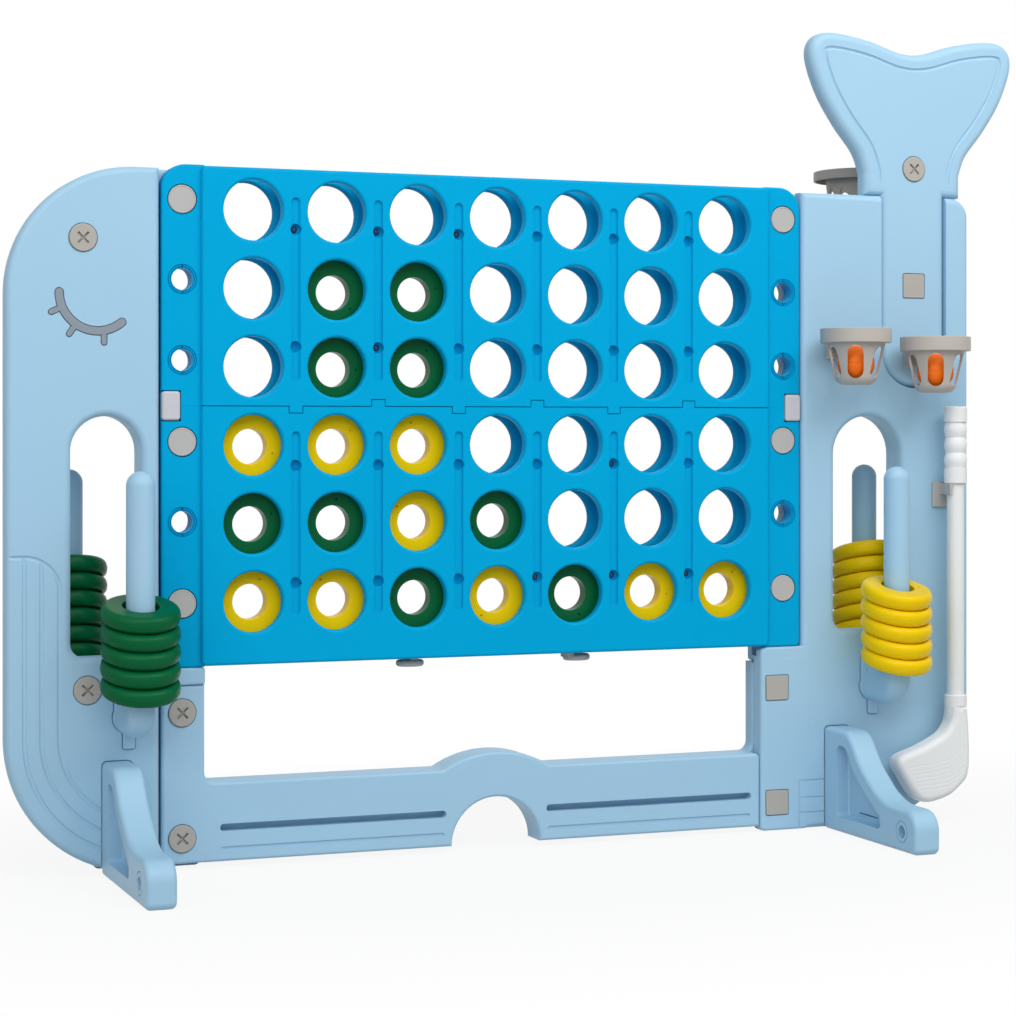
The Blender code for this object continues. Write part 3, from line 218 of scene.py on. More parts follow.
PEG_SEAT_Z = 0.201
PEG_REACH = 0.061
PEG_LEAN = 16.3             # degrees, slope of the arm and of the rings on it
PEG_ARM_HALF = 0.0155
PEG_ARM_ROUNDING = 0.0125
PEG_SEAT_LIFT = 0.0052      # slope of the arm above the seat, at the peg's axis
PEG_ROOT = 0.006            # peg in the arm below the slope
PEG_ELBOW = ((0.0757, -0.0145), (0.0695, -0.0275), (0.0585, -0.0370), (0.044, -0.042))
PEG_LOW = 0.042             # foot of the elbow below the seat
PEG_PLATE = 0.004
PEG_PLATE_RADIUS = 0.0182
PEG_PLATE_NECK = 0.0165
PEG_PLATE_RISE = 0.026
PEG_TAB = 0.0172
PEG_TAB_WIDTH = 0.0133
PEG_TAB_CORNER = 0.0015
PEG_ROUNDING = 0.001
PEG_VENT = (0.0145, -0.003, 0.004)      # outward, above the seat, and diameter

# Rings, balls and what holds them.
RING_DIAMETER = 0.0892
RING_BORE = 0.041
RING_HEIGHT = 0.0193
MOUTH_HALF = RING_HEIGHT / 2 + 2 * FIT_GAP      # way out for the rings below the board
RING_CORNER = 0.0072
RING_CROWN = 0.0006         # side of the ring, fuller in its middle
RING_CROWN_ANGLE = 10       # degrees, where the corner meets the side
BORE_CORNER = 0.0011
VENT = 0.0026               # moulding vent in a ring's face
VENT_RADIUS = 0.028
VENT_ANGLE = 122
FRONT_PILE = 5
PILE_LIFT = 0.0006          # pile above its peg's slope
PILE_ROLLS = {"front_body": 2.0}        # degrees, sideways
REAR_PILE = 7
BALL_DIAMETER = 0.046
BALL_SEAM = 0.0005          # depth of the ball's moulded line
BALL_SEAM_ANGLE = 3         # degrees, half of the line
CUP_REACH = 0.055
CUP_RIM_RADIUS = 0.044
CUP_RIM_HEIGHT = 0.018
CUP_TOP_RADIUS = 0.0365
CUP_FOOT_RADIUS = 0.0270
CUP_HEIGHT = 0.070
CUP_WALL = 0.003
CUP_LIP = 0.0012
CUP_FOOT_ROUNDING = 0.0130
CUP_SLOTS = 6
CUP_TURN = 30               # degrees, first slot from the front
CUP_SLOT_WIDTH = 0.0196
CUP_SLOT = (0.008, 0.049)   # heights
CUP_BRACKET_WIDTH = 0.026
CUP_BRACKET_HEIGHT = 0.034
CUP_BRACKET_DROP = 0.003
CUP_BRACKET_ROUNDING = 0.002
HOOP_REACH = 0.105
HOOP_RIM_RADIUS = 0.064
HOOP_RIM_HEIGHT = 0.0125
HOOP_WALL = 0.0028
HOOP_RISE = 0.044
HOOP_ROUNDING = 0.0012
NET_TOP_RADIUS = 0.0486
NET_FOOT_RADIUS = 0.043
NET_DEPTH = 0.068           # foot of the net below the rim's top
NET_BAND = 0.0225           # top of the net's slots below the rim's top
NET_SLOTS = 12
NET_SLOT_WIDTH = 0.0125
HOOP_PLATE = 0.012
HOOP_PLATE_WIDTH = 0.040
HOOP_PLATE_HEIGHT = 0.037
HOOP_ARM_WIDTH = 0.028
HOOP_ARM_HEIGHT = 0.0104

# Stick, bolts and small fittings.
STICK_DIAMETER = 0.0218
GRIP_DIAMETER = 0.029
GRIP_LENGTH = 0.098
GRIP_COLLAR = 0.0196
GRIP_BULGES = 3
GRIP_STEPS = 10             # points along a bulge
GRIP_WAIST = 0.0022
GRIP_CORNER = 0.0025
SOCKET_DIAMETER = 0.0284
SOCKET_HEIGHT = 0.014
SOCKET_DEPTH = 0.024
SOCKET_TAPER = 0.030        # socket's round end down into the blade
BLADE_ROUNDING = 0.0085
BLADE_NECK = 0.0105         # half of the blade under its socket
BLADE_EDGE = ((0.0126, 0.126), (0.0138, 0.104), (0.0139, 0.086), (0.0132, 0.072), (0.0095, 0.0585),
              (-0.0015, 0.0475), (-0.0135, 0.0388), (-0.029, 0.0333), (-0.047, 0.0305),
              (-0.0605, 0.0345), (-0.072, 0.047), (-0.0845, 0.0665), (-0.0902, 0.0765),
              (-0.0898, 0.0855), (-0.084, 0.0912), (-0.0737, 0.0950), (-0.058, 0.100),
              (-0.040, 0.1077), (-0.0265, 0.1147), (-0.0185, 0.1225),
              (-0.0125, 0.134))         # from the shaft's axis, and height
BLADE_LINES = 7
BLADE_TOP_LINE = ((-0.0757, 0.0758), (-0.035, 0.0800), (-0.0103, 0.0869), (0.0105, 0.1033))
BLADE_LOW_LINE = ((-0.0616, 0.0467), (-0.0256, 0.0492), (-0.0104, 0.0535), (0.0013, 0.0596))
BLADE_TOOL = 0.0022
BLADE_TOOL_LIFT = 0.0018
HANGER_HEIGHT = 0.014
HANGER_WALL = 0.0028
HANGER_PLATE = 0.004
HANGER_PLATE_LEFT = 0.0195
HANGER_PLATE_ROUNDING = 0.0012
HANGER_ARM = 0.019
HANGER_ARM_ROUNDING = 0.001
FORK_OPEN = 12              # degrees, right end of the fork behind the stick
FORK_TIP = 0.9              # left end in front of the stick's axis, as a share of the bore
FORK_ROUNDING = 0.0009
BOLT_HEAD = 0.0315
BOLT_SINK = 0.003
BOLT_GAP = 0.0010           # dark line round a bolt's head and round a nut
BOLT_CROWN = 0.0012
BOLT_SHANK = 0.008
BOLT_PLAY = 0.0004
NUT_WIDTH = 0.0305
NUT_HEIGHT = 0.0035
NUT_CORNER = 0.002
NUT_ROOM_CORNER = 0.0025
NUT_ROUNDING = 0.0009
CROSS_LENGTH = 0.017
CROSS_WIDTH = 0.0026
CROSS_DEPTH = 0.0034
CROSS_TURN = 45             # degrees
LAND_WIDTH = 0.009          # rests of the release bar
TAB_LENGTH = 0.034
TAB_DEPTH = 0.026
TAB_THICKNESS = 0.008
TAB_ROUNDING = 0.0035
TAB_CLEARANCE = 0.0015
TAB_COLUMNS = (3, 5)
TAB_SHIFTS = (-0.002, 0.012)        # tabs beside their columns
LADDER_HEIGHT = 1.75 * TAB_THICKNESS
LADDER_ROUNDING = 0.001
LADDER_CORNER = 0.002
RELEASE_TRAVEL = 0.050

# Rings in the board, as row from the top and column from the left.
GREEN_CELLS = {(2, 2), (2, 3), (3, 2), (3, 3), (5, 1), (5, 2), (5, 4), (6, 3), (6, 5)}
YELLOW_CELLS = {(4, 1), (4, 2), (4, 3), (5, 3), (6, 1), (6, 2), (6, 4), (6, 6), (6, 7)}

# Camera and light.
CAMERA_PLACE = (-1.107, -2.748, 0.502)
CAMERA_TURN = -21.15        # degrees
CAMERA_LENS = 86.7
CAMERA_SENSOR = 36.0
CAMERA_SHIFT = -0.0781
# Each light's name, place, target, size and watts.
LIGHTS = (("key_light", (-0.9, -2.6, 2.7), (0.0, 0.0, 0.5), 2.8, 50.0),
          ("fill_light", (-2.6, -2.0, 1.6), (0.0, 0.0, 0.5), 2.0, 18.0),
          ("top_light", (0.9, -1.4, 2.3), (0.3, 0.0, 0.7), 1.8, 31.0))
SKY_GLOW = (0.82, 0.94, 1.0, 1.0)
SKY_STRENGTH = 0.24
FLOOR_SIZE = 14.0
FLOOR_PLACE = (0.0, 2.0, 0.0)
FLOOR_GREY = (0.62, 0.62, 0.62, 1.0)
FLOOR_ROUGHNESS = 0.6
SHADE_SPREAD = (0.75, 1.2, 1.0)     # the floor shows its shade near the part and is white beyond
SHADE_EDGE = 0.55
SHADE_WHITE = 0.9           # white in the floor under the part
PURE_WHITE = (1.0, 1.0, 1.0, 1.0)

# Plastic.
DRIFT_SCALE = 5.0           # slow cloud in the colour and the gloss
DRIFT_DETAIL = 4.0
DRIFT_LOW, DRIFT_HIGH = 0.3, 0.7
COLOUR_DRIFT = 0.015
GLOSS_DRIFT = 0.04
GRAIN_SCALE = 900.0         # fine skin
GRAIN_DETAIL = 2.0
GRAIN_STRENGTH = 0.02
GRAIN_HEIGHT = 0.0005

# Ways to lay a flat outline: seen from the front, from the side or from above.
FROM_FRONT = Matrix(((1, 0, 0, 0), (0, 0, -1, 0), (0, 1, 0, 0), (0, 0, 0, 1)))
FROM_SIDE = Matrix(((0, 0, 1, 0), (1, 0, 0, 0), (0, 1, 0, 0), (0, 0, 0, 1)))
FROM_ABOVE = Matrix.Identity(4)
FACING_FRONT = Matrix.Rotation(math.radians(90), 4, "X")
FACING_BACK = Matrix.Rotation(math.radians(-90), 4, "X")
SMOOTH_ANGLE = math.radians(32)
FLAT_ANGLE = math.radians(0.3)
SLIVER = 0.00002
TOUCHING = 1e-6             # points this close are one
ROD_STEPS = 3
NORMAL_WEIGHT = 80


# Bench tools.

def let_go():
    """Leaves nothing selected."""
    for other in bpy.context.selected_objects:
        other.select_set(False)


def take(piece):
    """Leaves one piece selected."""
    let_go()
    bpy.context.view_layer.objects.active = piece
    piece.select_set(True)
    return piece


def settle(piece, place=None):
    """Puts a piece's place into its mesh."""
    take(piece)
    if place is not None:
        piece.matrix_world = place
    bpy.ops.object.transform_apply(location=True, rotation=True, scale=True)
    return piece


def clean(piece):
    """Closes seams and poles, and turns the faces outwards."""
    take(piece)
    bpy.ops.object.mode_set(mode="EDIT")
    bpy.ops.mesh.select_all(action="SELECT")
    bpy.ops.mesh.remove_doubles(threshold=TOUCHING)
    bpy.ops.mesh.normals_make_consistent(inside=False)
    bpy.ops.object.mode_set(mode="OBJECT")
    return piece


def work(piece, kind, **settings):
    """Adds a modifier and applies it."""
    take(piece)
    modifier = piece.modifiers.new(kind.lower(), kind)
    for name, value in settings.items():
        setattr(modifier, name, value)
    bpy.ops.object.modifier_apply(modifier=modifier.name)
    return piece


def combine(piece, tools, operation):
    for tool in tools:
        work(piece, "BOOLEAN", operation=operation, solver="EXACT", object=tool)
        bpy.data.meshes.remove(tool.data)
    return piece


def cut(piece, *tools):
    return combine(piece, tools, "DIFFERENCE")


def fuse(piece, *tools):
    return combine(piece, tools, "UNION")


def gather(name, pieces):
    """Joins separate shapes into one piece."""
    take(pieces[0])
    for piece in pieces[1:]:
        piece.select_set(True)
    if len(pieces) > 1:
        bpy.ops.object.join()
    pieces[0].name = name
    return pieces[0]


def copy_of(piece, name, place=FROM_ABOVE):
    take(piece)
    bpy.ops.object.duplicate()
    twin = bpy.context.object
    twin.name = name
    return settle(twin, place)


def soften(piece, chosen, width, steps=2):
    """Rounds the sharp edges whose two ends are both chosen."""
    take(piece)
    bpy.ops.object.mode_set(mode="EDIT")
    bpy.ops.mesh.select_mode(type="EDGE")
    bpy.ops.mesh.select_all(action="DESELECT")
    bpy.ops.mesh.edges_select_sharp(sharpness=SMOOTH_ANGLE)
    bpy.ops.object.mode_set(mode="OBJECT")
    points = piece.data.vertices
    for edge in piece.data.edges:
        edge.select = edge.select and all(chosen(points[end].co) for end in edge.vertices)
    bpy.ops.object.mode_set(mode="EDIT")
    bpy.ops.mesh.bevel(offset=width, segments=steps, affect="EDGES", clamp_overlap=True)
    bpy.ops.object.mode_set(mode="OBJECT")
    return piece


def plain_flats(piece):
    """Takes out the slivers that cutting leaves in flat faces."""
    take(piece)
    bpy.ops.object.mode_set(mode="EDIT")
    bpy.ops.mesh.select_all(action="SELECT")
    bpy.ops.mesh.remove_doubles(threshold=SLIVER)
    bpy.ops.mesh.dissolve_degenerate(threshold=SLIVER)
    bpy.ops.mesh.dissolve_limited(angle_limit=FLAT_ANGLE)
    bpy.ops.object.mode_set(mode="OBJECT")
    return piece


def middle_of(node):
    """The middle of a node's box in the frame."""
    return [(low + high) / 2 for low, high in zip(*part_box(node))]


def toward(angle):
    """The direction at an angle in degrees."""
    return Vector((math.cos(math.radians(angle)), math.sin(math.radians(angle))))


def arc(centre, radius, start, end, steps):
    """Points on an arc, with its angles in degrees."""
    points = []
    for i in range(steps + 1):
        angle = math.radians(start + (end - start) * i / steps)
        points.append((centre[0] + radius * math.cos(angle), centre[1] + radius * math.sin(angle)))
    return points


def circle(centre, radius, steps=40):
    return arc(centre, radius, 0, 360 - 360 / steps, steps - 1)


def smooth_run(points, steps):
    """A smooth run of points through the given ones."""
    run = []
    for i in range(len(points) - 1):
        before = Vector(points[max(i - 1, 0)])
        start = Vector(points[i])
        end = Vector(points[i + 1])
        after = Vector(points[min(i + 2, len(points) - 1)])
        for step in range(steps):
            t = step / steps
            bend = (2 * start + (end - before) * t
                    + (2 * before - 5 * start + 4 * end - after) * t ** 2
                    + (3 * start - before - 3 * end + after) * t ** 3) / 2
            run.append(tuple(bend))
    run.append(tuple(points[-1]))
    return run


def mirrored(points, middle):
    return [(2 * middle - x, z) for x, z in points]


def inset_run(points, distance):
    """A run of points moved to its left by a distance."""
    moved = []
    for i, point in enumerate(points):
        along = Vector(points[min(i + 1, len(points) - 1)]) - Vector(points[max(i - 1, 0)])
        along.normalize()
        moved.append((point[0] - along.y * distance, point[1] + along.x * distance))
    return moved


def clear_of(point, run, distance):
    """Whether a point keeps its distance from each point of a run."""
    return min((Vector(point) - Vector(other)).length for other in run) > distance


def rounded_box(left, right, low, high, radii, steps=8):
    """A rectangle with one corner radius, or four from the lower left round to the upper left."""
    a, b, c, d = radii if isinstance(radii, tuple) else (radii,) * 4
    points = arc((left + a, low + a), a, 180, 270, steps)
    points += arc((right - b, low + b), b, 270, 360, steps)
    points += arc((right - c, high - c), c, 0, 90, steps)
    return points + arc((left + d, high - d), d, 90, 180, steps)


def lozenge(start, end, width, steps=10):
    """A straight slot with round ends, whose ends have their middles at start and end."""
    heading = math.degrees(math.atan2(end[1] - start[1], end[0] - start[0]))
    points = arc(start, width / 2, heading + 90, heading + 270, steps)
    return points + arc(end, width / 2, heading - 90, heading + 90, steps)


def draw(name, runs, closed, flat):
    """A curve through each run of points."""
    curve = bpy.data.curves.new(name, "CURVE")
    curve.dimensions = "2D" if flat else "3D"
    for run in runs:
        spline = curve.splines.new("POLY")
        spline.points.add(len(run) - 1)
        for point, place in zip(spline.points, run):
            point.co = (*place, 0.0, 1.0) if flat else (*place, 1.0)
        spline.use_cyclic_u = closed
    drawing = bpy.data.objects.new(name, curve)
    bpy.context.scene.collection.objects.link(drawing)
    return drawing


def made_mesh(drawing):
    take(drawing)
    bpy.ops.object.convert(target="MESH")
    return bpy.context.object


def plate(name, loops, low, high, rounding, lying=FROM_FRONT, steps=5):
    """A flat outline, with any holes, as a plate with rounded edges from low to high."""
    drawing = draw(name, loops, True, True)
    drawing.data.fill_mode = "BOTH"
    drawing.data.extrude = (high - low) / 2 - rounding
    drawing.data.bevel_depth = rounding
    drawing.data.bevel_resolution = steps - 1
    drawing.data.offset = -rounding
    axis = lying.to_3x3() @ Vector((0, 0, 1))
    middle = (low + high) / 2
    place = Matrix.Translation(middle * Vector([abs(part) for part in axis])) @ lying
    return clean(settle(made_mesh(drawing), place))


def rod(name, runs, radius):
    """A round rod along each run of points."""
    drawing = draw(name, runs, False, False)
    drawing.data.bevel_depth = radius
    drawing.data.bevel_resolution = ROD_STEPS
    drawing.data.use_fill_caps = True
    return clean(made_mesh(drawing))


def turned(name, profile, place, sides=48, closed=False):
    """A profile of (radius, height) points turned about the upright axis, then put in its place."""
    run = [(radius, 0.0, height) for radius, height in profile]
    piece = made_mesh(draw(name, [run], closed, False))
    work(piece, "SCREW", angle=math.tau, steps=sides, render_steps=sides, use_merge_vertices=True,
         merge_threshold=TOUCHING, use_normal_calculate=True)
    return clean(settle(clean(piece), place))


def block(name, low, high, rounding=0.0, steps=3):
    """A block with rounded edges."""
    low = Vector(low)
    high = Vector(high)
    let_go()
    bpy.ops.mesh.primitive_cube_add(size=1.0, location=(low + high) / 2)
    piece = bpy.context.object
    piece.name = name
    piece.scale = high - low
    settle(piece)
    if rounding:
        work(piece, "BEVEL", width=rounding, segments=steps, limit_method="NONE")
    return piece


# Finishes.

def linear(shade):
    """A colour as seen on a screen, 0 to 255, as light."""
    return [((part / 255 + 0.055) / 1.055) ** 2.4 if part > 10 else part / 255 / 12.92
            for part in shade]


def add_node(tree, kind, **values):
    """A shader node with its inputs set; an underscore stands for a space in an input's name."""
    node = tree.nodes.new("ShaderNode" + kind)
    for name, value in values.items():
        node.inputs[name.replace("_", " ")].default_value = value
    return node


def wire(tree, *wires):
    """Links an output of one node to an input of another, for each wire."""
    for giver, output, taker, entry in wires:
        tree.links.new(giver.outputs[output], taker.inputs[entry])


def plastic(name, shade, roughness, shine=0.15):
    """Moulded plastic: a faint cloud in its colour, uneven gloss and a fine skin."""
    material = bpy.data.materials.new(name)
    material.use_nodes = True
    tree = material.node_tree
    shader = tree.nodes["Principled BSDF"]
    shader.inputs["Specular IOR Level"].default_value = shine
    place = add_node(tree, "TexCoord")
    drift = add_node(tree, "TexNoise", Scale=DRIFT_SCALE, Detail=DRIFT_DETAIL)
    colours = add_node(tree, "ValToRGB")
    shares = (1 - COLOUR_DRIFT, 1 + COLOUR_DRIFT)
    for end, position, share in zip(colours.color_ramp.elements, (DRIFT_LOW, DRIFT_HIGH), shares):
        end.position = position
        end.color = (*[min(part * share, 1.0) for part in linear(shade)], 1.0)
    gloss = add_node(tree, "MapRange", From_Min=DRIFT_LOW, From_Max=DRIFT_HIGH,
                     To_Min=roughness - GLOSS_DRIFT, To_Max=roughness + GLOSS_DRIFT)
    grain = add_node(tree, "TexNoise", Scale=GRAIN_SCALE, Detail=GRAIN_DETAIL)
    bump = add_node(tree, "Bump", Strength=GRAIN_STRENGTH, Distance=GRAIN_HEIGHT)
    wire(tree, (place, "Object", drift, "Vector"), (place, "Object", grain, "Vector"),
         (drift, "Fac", colours, "Fac"), (colours, "Color", shader, "Base Color"),
         (drift, "Fac", gloss, "Value"), (gloss, "Result", shader, "Roughness"),
         (grain, "Fac", bump, "Height"), (bump, "Normal", shader, "Normal"))
    return material


# Each finish with a slot name, which finish() unpacks but does not use.
SKY_BLUE = plastic("sky_blue_moulding", (164, 202, 226), 0.42, 0.25), "sky_blue_plastic"
BOARD_BLUE = plastic("board_blue_moulding", (3, 165, 216), 0.40, 0.03), "board_blue_plastic"
GREEN = plastic("green_ring_gloss", (1, 94, 52), 0.30, 0.09), "green_ring_plastic"
YELLOW = plastic("yellow_ring_gloss", (242, 202, 4), 0.30, 0.11), "yellow_ring_plastic"
GREY = plastic("grey_fitting", (184, 182, 180), 0.42), "grey_fitting_plastic"
BROWN_GREY = plastic("bolt_grey", (178, 173, 166), 0.42), "grey_fitting_plastic"
CLIP_GREY = plastic("clip_grey", (199, 200, 205), 0.40), "grey_fitting_plastic"
WARM_GREY = plastic("warm_grey_cup", (188, 180, 172), 0.42), "warm_grey_plastic"
EYE_GREY = plastic("eye_grey_inlay", (142, 150, 160), 0.45), "eye_grey_plastic"
ORANGE = plastic("orange_ball", (255, 118, 26), 0.38), "orange_ball_plastic"
WHITE = plastic("white_stick", (238, 237, 236), 0.34), "white_stick_plastic"
# Grey fitting screws painted dark navy: painted shade and blue bounce light from the bottom of the
# deep board recesses.
SCREW_PAINTED_SHADE = plastic("screw_with_painted_shade", (18, 44, 84), 0.25, 0.5), "grey_fitting_plastic"


def finish(piece, look, body, *nodes):
    """Gives a piece its finish, its smooth faces and the body that it rides on."""
    material, slot = look
    piece.data.materials.clear()
    piece.data.materials.append(material)
    plain_flats(piece)
    bpy.ops.object.shade_smooth_by_angle(angle=SMOOTH_ANGLE)
    work(piece, "WEIGHTED_NORMAL", weight=NORMAL_WEIGHT, keep_sharp=True)
    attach(piece, body)
    if nodes:
        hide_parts(*nodes)
    return piece


# Board.

def column_x(column):
    return BOARD_X + (column - (COLUMNS + 1) / 2) * COLUMN_PITCH


def row_z(row):
    return SEAM_Z + ((ROWS + 1) / 2 - row) * ROW_PITCH


def rib_x(number):
    return column_x(number) + COLUMN_PITCH / 2


def near_rib(point, margin):
    """Whether a point lies within a margin of the middle of a rib between two columns."""
    return min(abs(point.x - rib_x(number)) for number in range(1, COLUMNS)) < margin


def side_spots(rises):
    spots = []
    for side in (-1, 1):
        x = BOARD_X + side * (BOARD_HALF - SIDE_INSET)
        spots += [(x, SEAM_Z + rise) for rise in rises]
    return spots


def board_shell(name, half, face, wall, meet):
    """A board with its view holes and the ribs between its columns, before it is parted."""
    holes = [circle((column_x(column), row_z(row)), VIEW_HOLE / 2)
             for row in range(1, ROWS + 1) for column in range(1, COLUMNS + 1)]
    outline = rounded_box(BOARD_X - half, BOARD_X + half,
                          BOARD_BOTTOM + FIELD_MARGIN, BOARD_TOP - FIELD_MARGIN, LOW_CORNER)
    shell = plate(name, [outline] + holes, *sorted((face, wall)), HOLE_ROUNDING, steps=4)
    root = (face + wall) / 2
    low = BOARD_BOTTOM + 2 * FIELD_MARGIN
    high = BOARD_TOP - HOLE_ROUNDING
    rib_half = (COLUMN_PITCH - CHANNEL_WIDTH) / 2
    walls = [(rib_x(number) - rib_half, rib_x(number) + rib_half) for number in range(1, COLUMNS)]
    walls += [(column_x(COLUMNS) + CHANNEL_WIDTH / 2, BOARD_X + half - HOLE_ROUNDING),
              (BOARD_X - half + HOLE_ROUNDING, column_x(1) - CHANNEL_WIDTH / 2)]
    near, far = sorted((root, meet))
    ribs = [block("rib", (left, near, low), (right, far, high)) for left, right in walls]
    return fuse(shell, gather("ribs", ribs))


def add_flanges(shell):
    """The sunk flanges at the sides of the front board."""
    for side in (-1, 1):
        left, right = sorted((BOARD_X + side * BOARD_HALF,
                              BOARD_X + side * (FIELD_HALF - 2 * HOLE_ROUNDING)))
        inner = 1.5 * FLANGE_ROUNDING
        radii = (LOW_CORNER, inner, inner, TOP_CORNER)
        if side > 0:
            radii = (inner, LOW_CORNER, TOP_CORNER, inner)
        outline = rounded_box(left, right, BOARD_BOTTOM, BOARD_TOP, radii)
        face = BOARD_FACE + FLANGE_SUNK
        fuse(shell, plate("flange", [outline], face, -FIT_GAP / 2, FLANGE_ROUNDING))


def cut_front(shell, face):
    """Grooves, screw recesses, plug seats, side holes with their lines, and clip pockets."""
    low, high = GROOVE_SPAN
    ends = (low + GROOVE_WIDTH / 2, high - GROOVE_WIDTH / 2)
    grooves = []
    recesses = []
    for number in range(1, COLUMNS):
        x = rib_x(number)
        for way in (-1, 1):
            start, end = [(x, SEAM_Z + way * rise) for rise in ends]
            grooves.append(lozenge(start, end, GROOVE_WIDTH))
            recesses += [circle((x, SEAM_Z + way * rise), RECESS_DIAMETER / 2, 24)
                         for rise in RECESS_RISES]
    before = face - WEB
    cut(shell, plate("grooves", grooves, before, face + GROOVE_DEPTH, EDGE_SOFTNESS, steps=3))
    cut(shell, plate("recesses", recesses, before, face + RECESS_DEPTH, EDGE_SOFTNESS, steps=3))
    flange = BOARD_FACE + FLANGE_SUNK
    seats = [circle(spot, PLUG_DIAMETER / 2 + PLUG_GAP) for spot in side_spots(PLUG_RISES)]
    cut(shell, plate("plug_seats", seats, before, flange + PLUG_DEPTH, 0.0))
    for diameter in BUSH_DIAMETERS:
        lines = []
        for spot in side_spots(SIDE_HOLE_RISES):
            lines += [circle(spot, diameter / 2), circle(spot, diameter / 2 - BUSH_LINE)]
        cut(shell, plate("bush_lines", lines, before, flange + BUSH_DEPTH, 0.0))
    holes = [circle(spot, SIDE_HOLE / 2) for spot in side_spots(SIDE_HOLE_RISES)]
    cut(shell, plate("side_holes", holes, before, -before, 0.0))
    ticks = []
    half = TICK_WIDTH / 2
    near = SIDE_HOLE / 2 - TICK_WIDTH
    far = BUSH_DIAMETERS[0] / 2 - BUSH_LINE / 2
    for x, z in side_spots(SIDE_HOLE_RISES):
        for way in (-1, 1):
            bottom, top = sorted((z + way * near, z + way * far))
            ticks.append(rounded_box(x - half, x + half, bottom, top, TICK_WIDTH / 3, 2))
    cut(shell, plate("bush_ticks", ticks, before, flange + TICK_DEPTH, 0.0))
    for clip in ("head_seam_clip", "body_seam_clip"):
        inside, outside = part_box(clip)
        pocket_low = inside - Vector((CLIP_GAP, WEB, CLIP_GAP))
        pocket_high = outside + Vector((CLIP_GAP, FIT_GAP, CLIP_GAP))
        if clip == "head_seam_clip":
            pocket_low.x = inside.x - WEB
        else:
            pocket_high.x = outside.x + WEB
        cut(shell, block("clip_pocket", pocket_low, pocket_high))


def seam_line(offset, tabbed):
    """The seam from left to right, raised by an offset, with tabs down and up by turns."""
    z = SEAM_Z + offset
    line = [(BOARD_X - 2 * BOARD_HALF, z)]
    for number in range(1, COLUMNS) if tabbed else ():
        way = -1 if number % 2 else 1
        half = SEAM_TAB / 2 + way * offset
        x = rib_x(number)
        line += [(x - half, z), (x - half, z + way * SEAM_TAB_HEIGHT),
                 (x + half, z + way * SEAM_TAB_HEIGHT), (x + half, z)]
    return line + [(BOARD_X + 2 * BOARD_HALF, z)]


def part_at_seam(shell, upper_name, lower_name, tabbed):
    """An upper and a lower half, with an open line along a tabbed seam's front."""
    lower = copy_of(shell, lower_name)
    shell.name = upper_name
    for half, way in ((shell, 1), (lower, -1)):
        far = SEAM_Z - way * (BOARD_TOP - BOARD_BOTTOM)
        depths = ((SEAM_GAP, 2 * PANEL_FACE), (SEAM_LINE, BOARD_FACE - FACE_PROUD + SEAM_DEPTH))
        for gap, depth in depths if tabbed else depths[:1]:
            line = seam_line(way * gap / 2, tabbed)
            outline = line + [(line[-1][0], far), (line[0][0], far)]
            cut(half, plate("seam_tool", [outline], -2 * PANEL_FACE, depth, 0.0))
    return shell, lower


def release_room(name):
    """Tools for the room of the release bar and for the way out below it."""
    left = BAR_LOW.x - LAND_WIDTH
    right = BAR_HIGH.x + RELEASE_TRAVEL + LAND_WIDTH
    depth = -BOARD_FACE - WEB + FIT_GAP
    land = BAR_HIGH.z
    ledge = land - LADDER_HEIGHT - FIT_GAP
    return (block(name, (left, -depth, ledge), (right, depth, land + 2 * FIT_GAP)),
            block(name, (left, -MOUTH_HALF, BOARD_BOTTOM - WEB),
                  (right, MOUTH_HALF, ledge + FIT_GAP)))


def make_boards():
    face = BOARD_FACE - FACE_PROUD
    wall = BOARD_FACE + WEB
    front = board_shell("front_shell", FIELD_HALF, face, wall, -FIT_GAP / 2)
    add_flanges(front)
    cut_front(front, face)
    upper, lower = part_at_seam(front, "upper_front_shell", "lower_front_shell", True)
    cut(lower, *release_room("front_room"))

    def on_face(point):
        return abs(point.y - face) < FIT_GAP / 10

    def seam_edge(point):
        rise = abs(point.z - SEAM_Z)
        by_tab = near_rib(point, SEAM_TAB) and rise < 2 * SEAM_TAB_HEIGHT
        return on_face(point) and (rise < 2 * SEAM_LINE or by_tab)

    def groove_edge(point):
        rise = abs(point.z - SEAM_Z)
        return (on_face(point) and near_rib(point, GROOVE_WIDTH)
                and GROOVE_SPAN[0] - SEAM_LINE < rise < GROOVE_SPAN[1] + SEAM_LINE)

    for half in (upper, lower):
        soften(half, seam_edge, EDGE_SOFTNESS / 3)
        soften(half, groove_edge, EDGE_SOFTNESS)
    rear_half = (REAR_HIGH.x - REAR_LOW.x) / 2
    back = board_shell("back_shell", rear_half, -BOARD_FACE, -wall, FIT_GAP / 2)
    rear_upper, rear_lower = part_at_seam(back, "upper_back_shell", "lower_back_shell", False)
    cut(rear_lower, *release_room("back_room"))
    for piece, node in ((upper, "upper_front_board"), (lower, "lower_front_board"),
                        (rear_upper, "upper_back_board"), (rear_lower, "lower_back_board")):
        finish(piece, BOARD_BLUE, "frame", node)


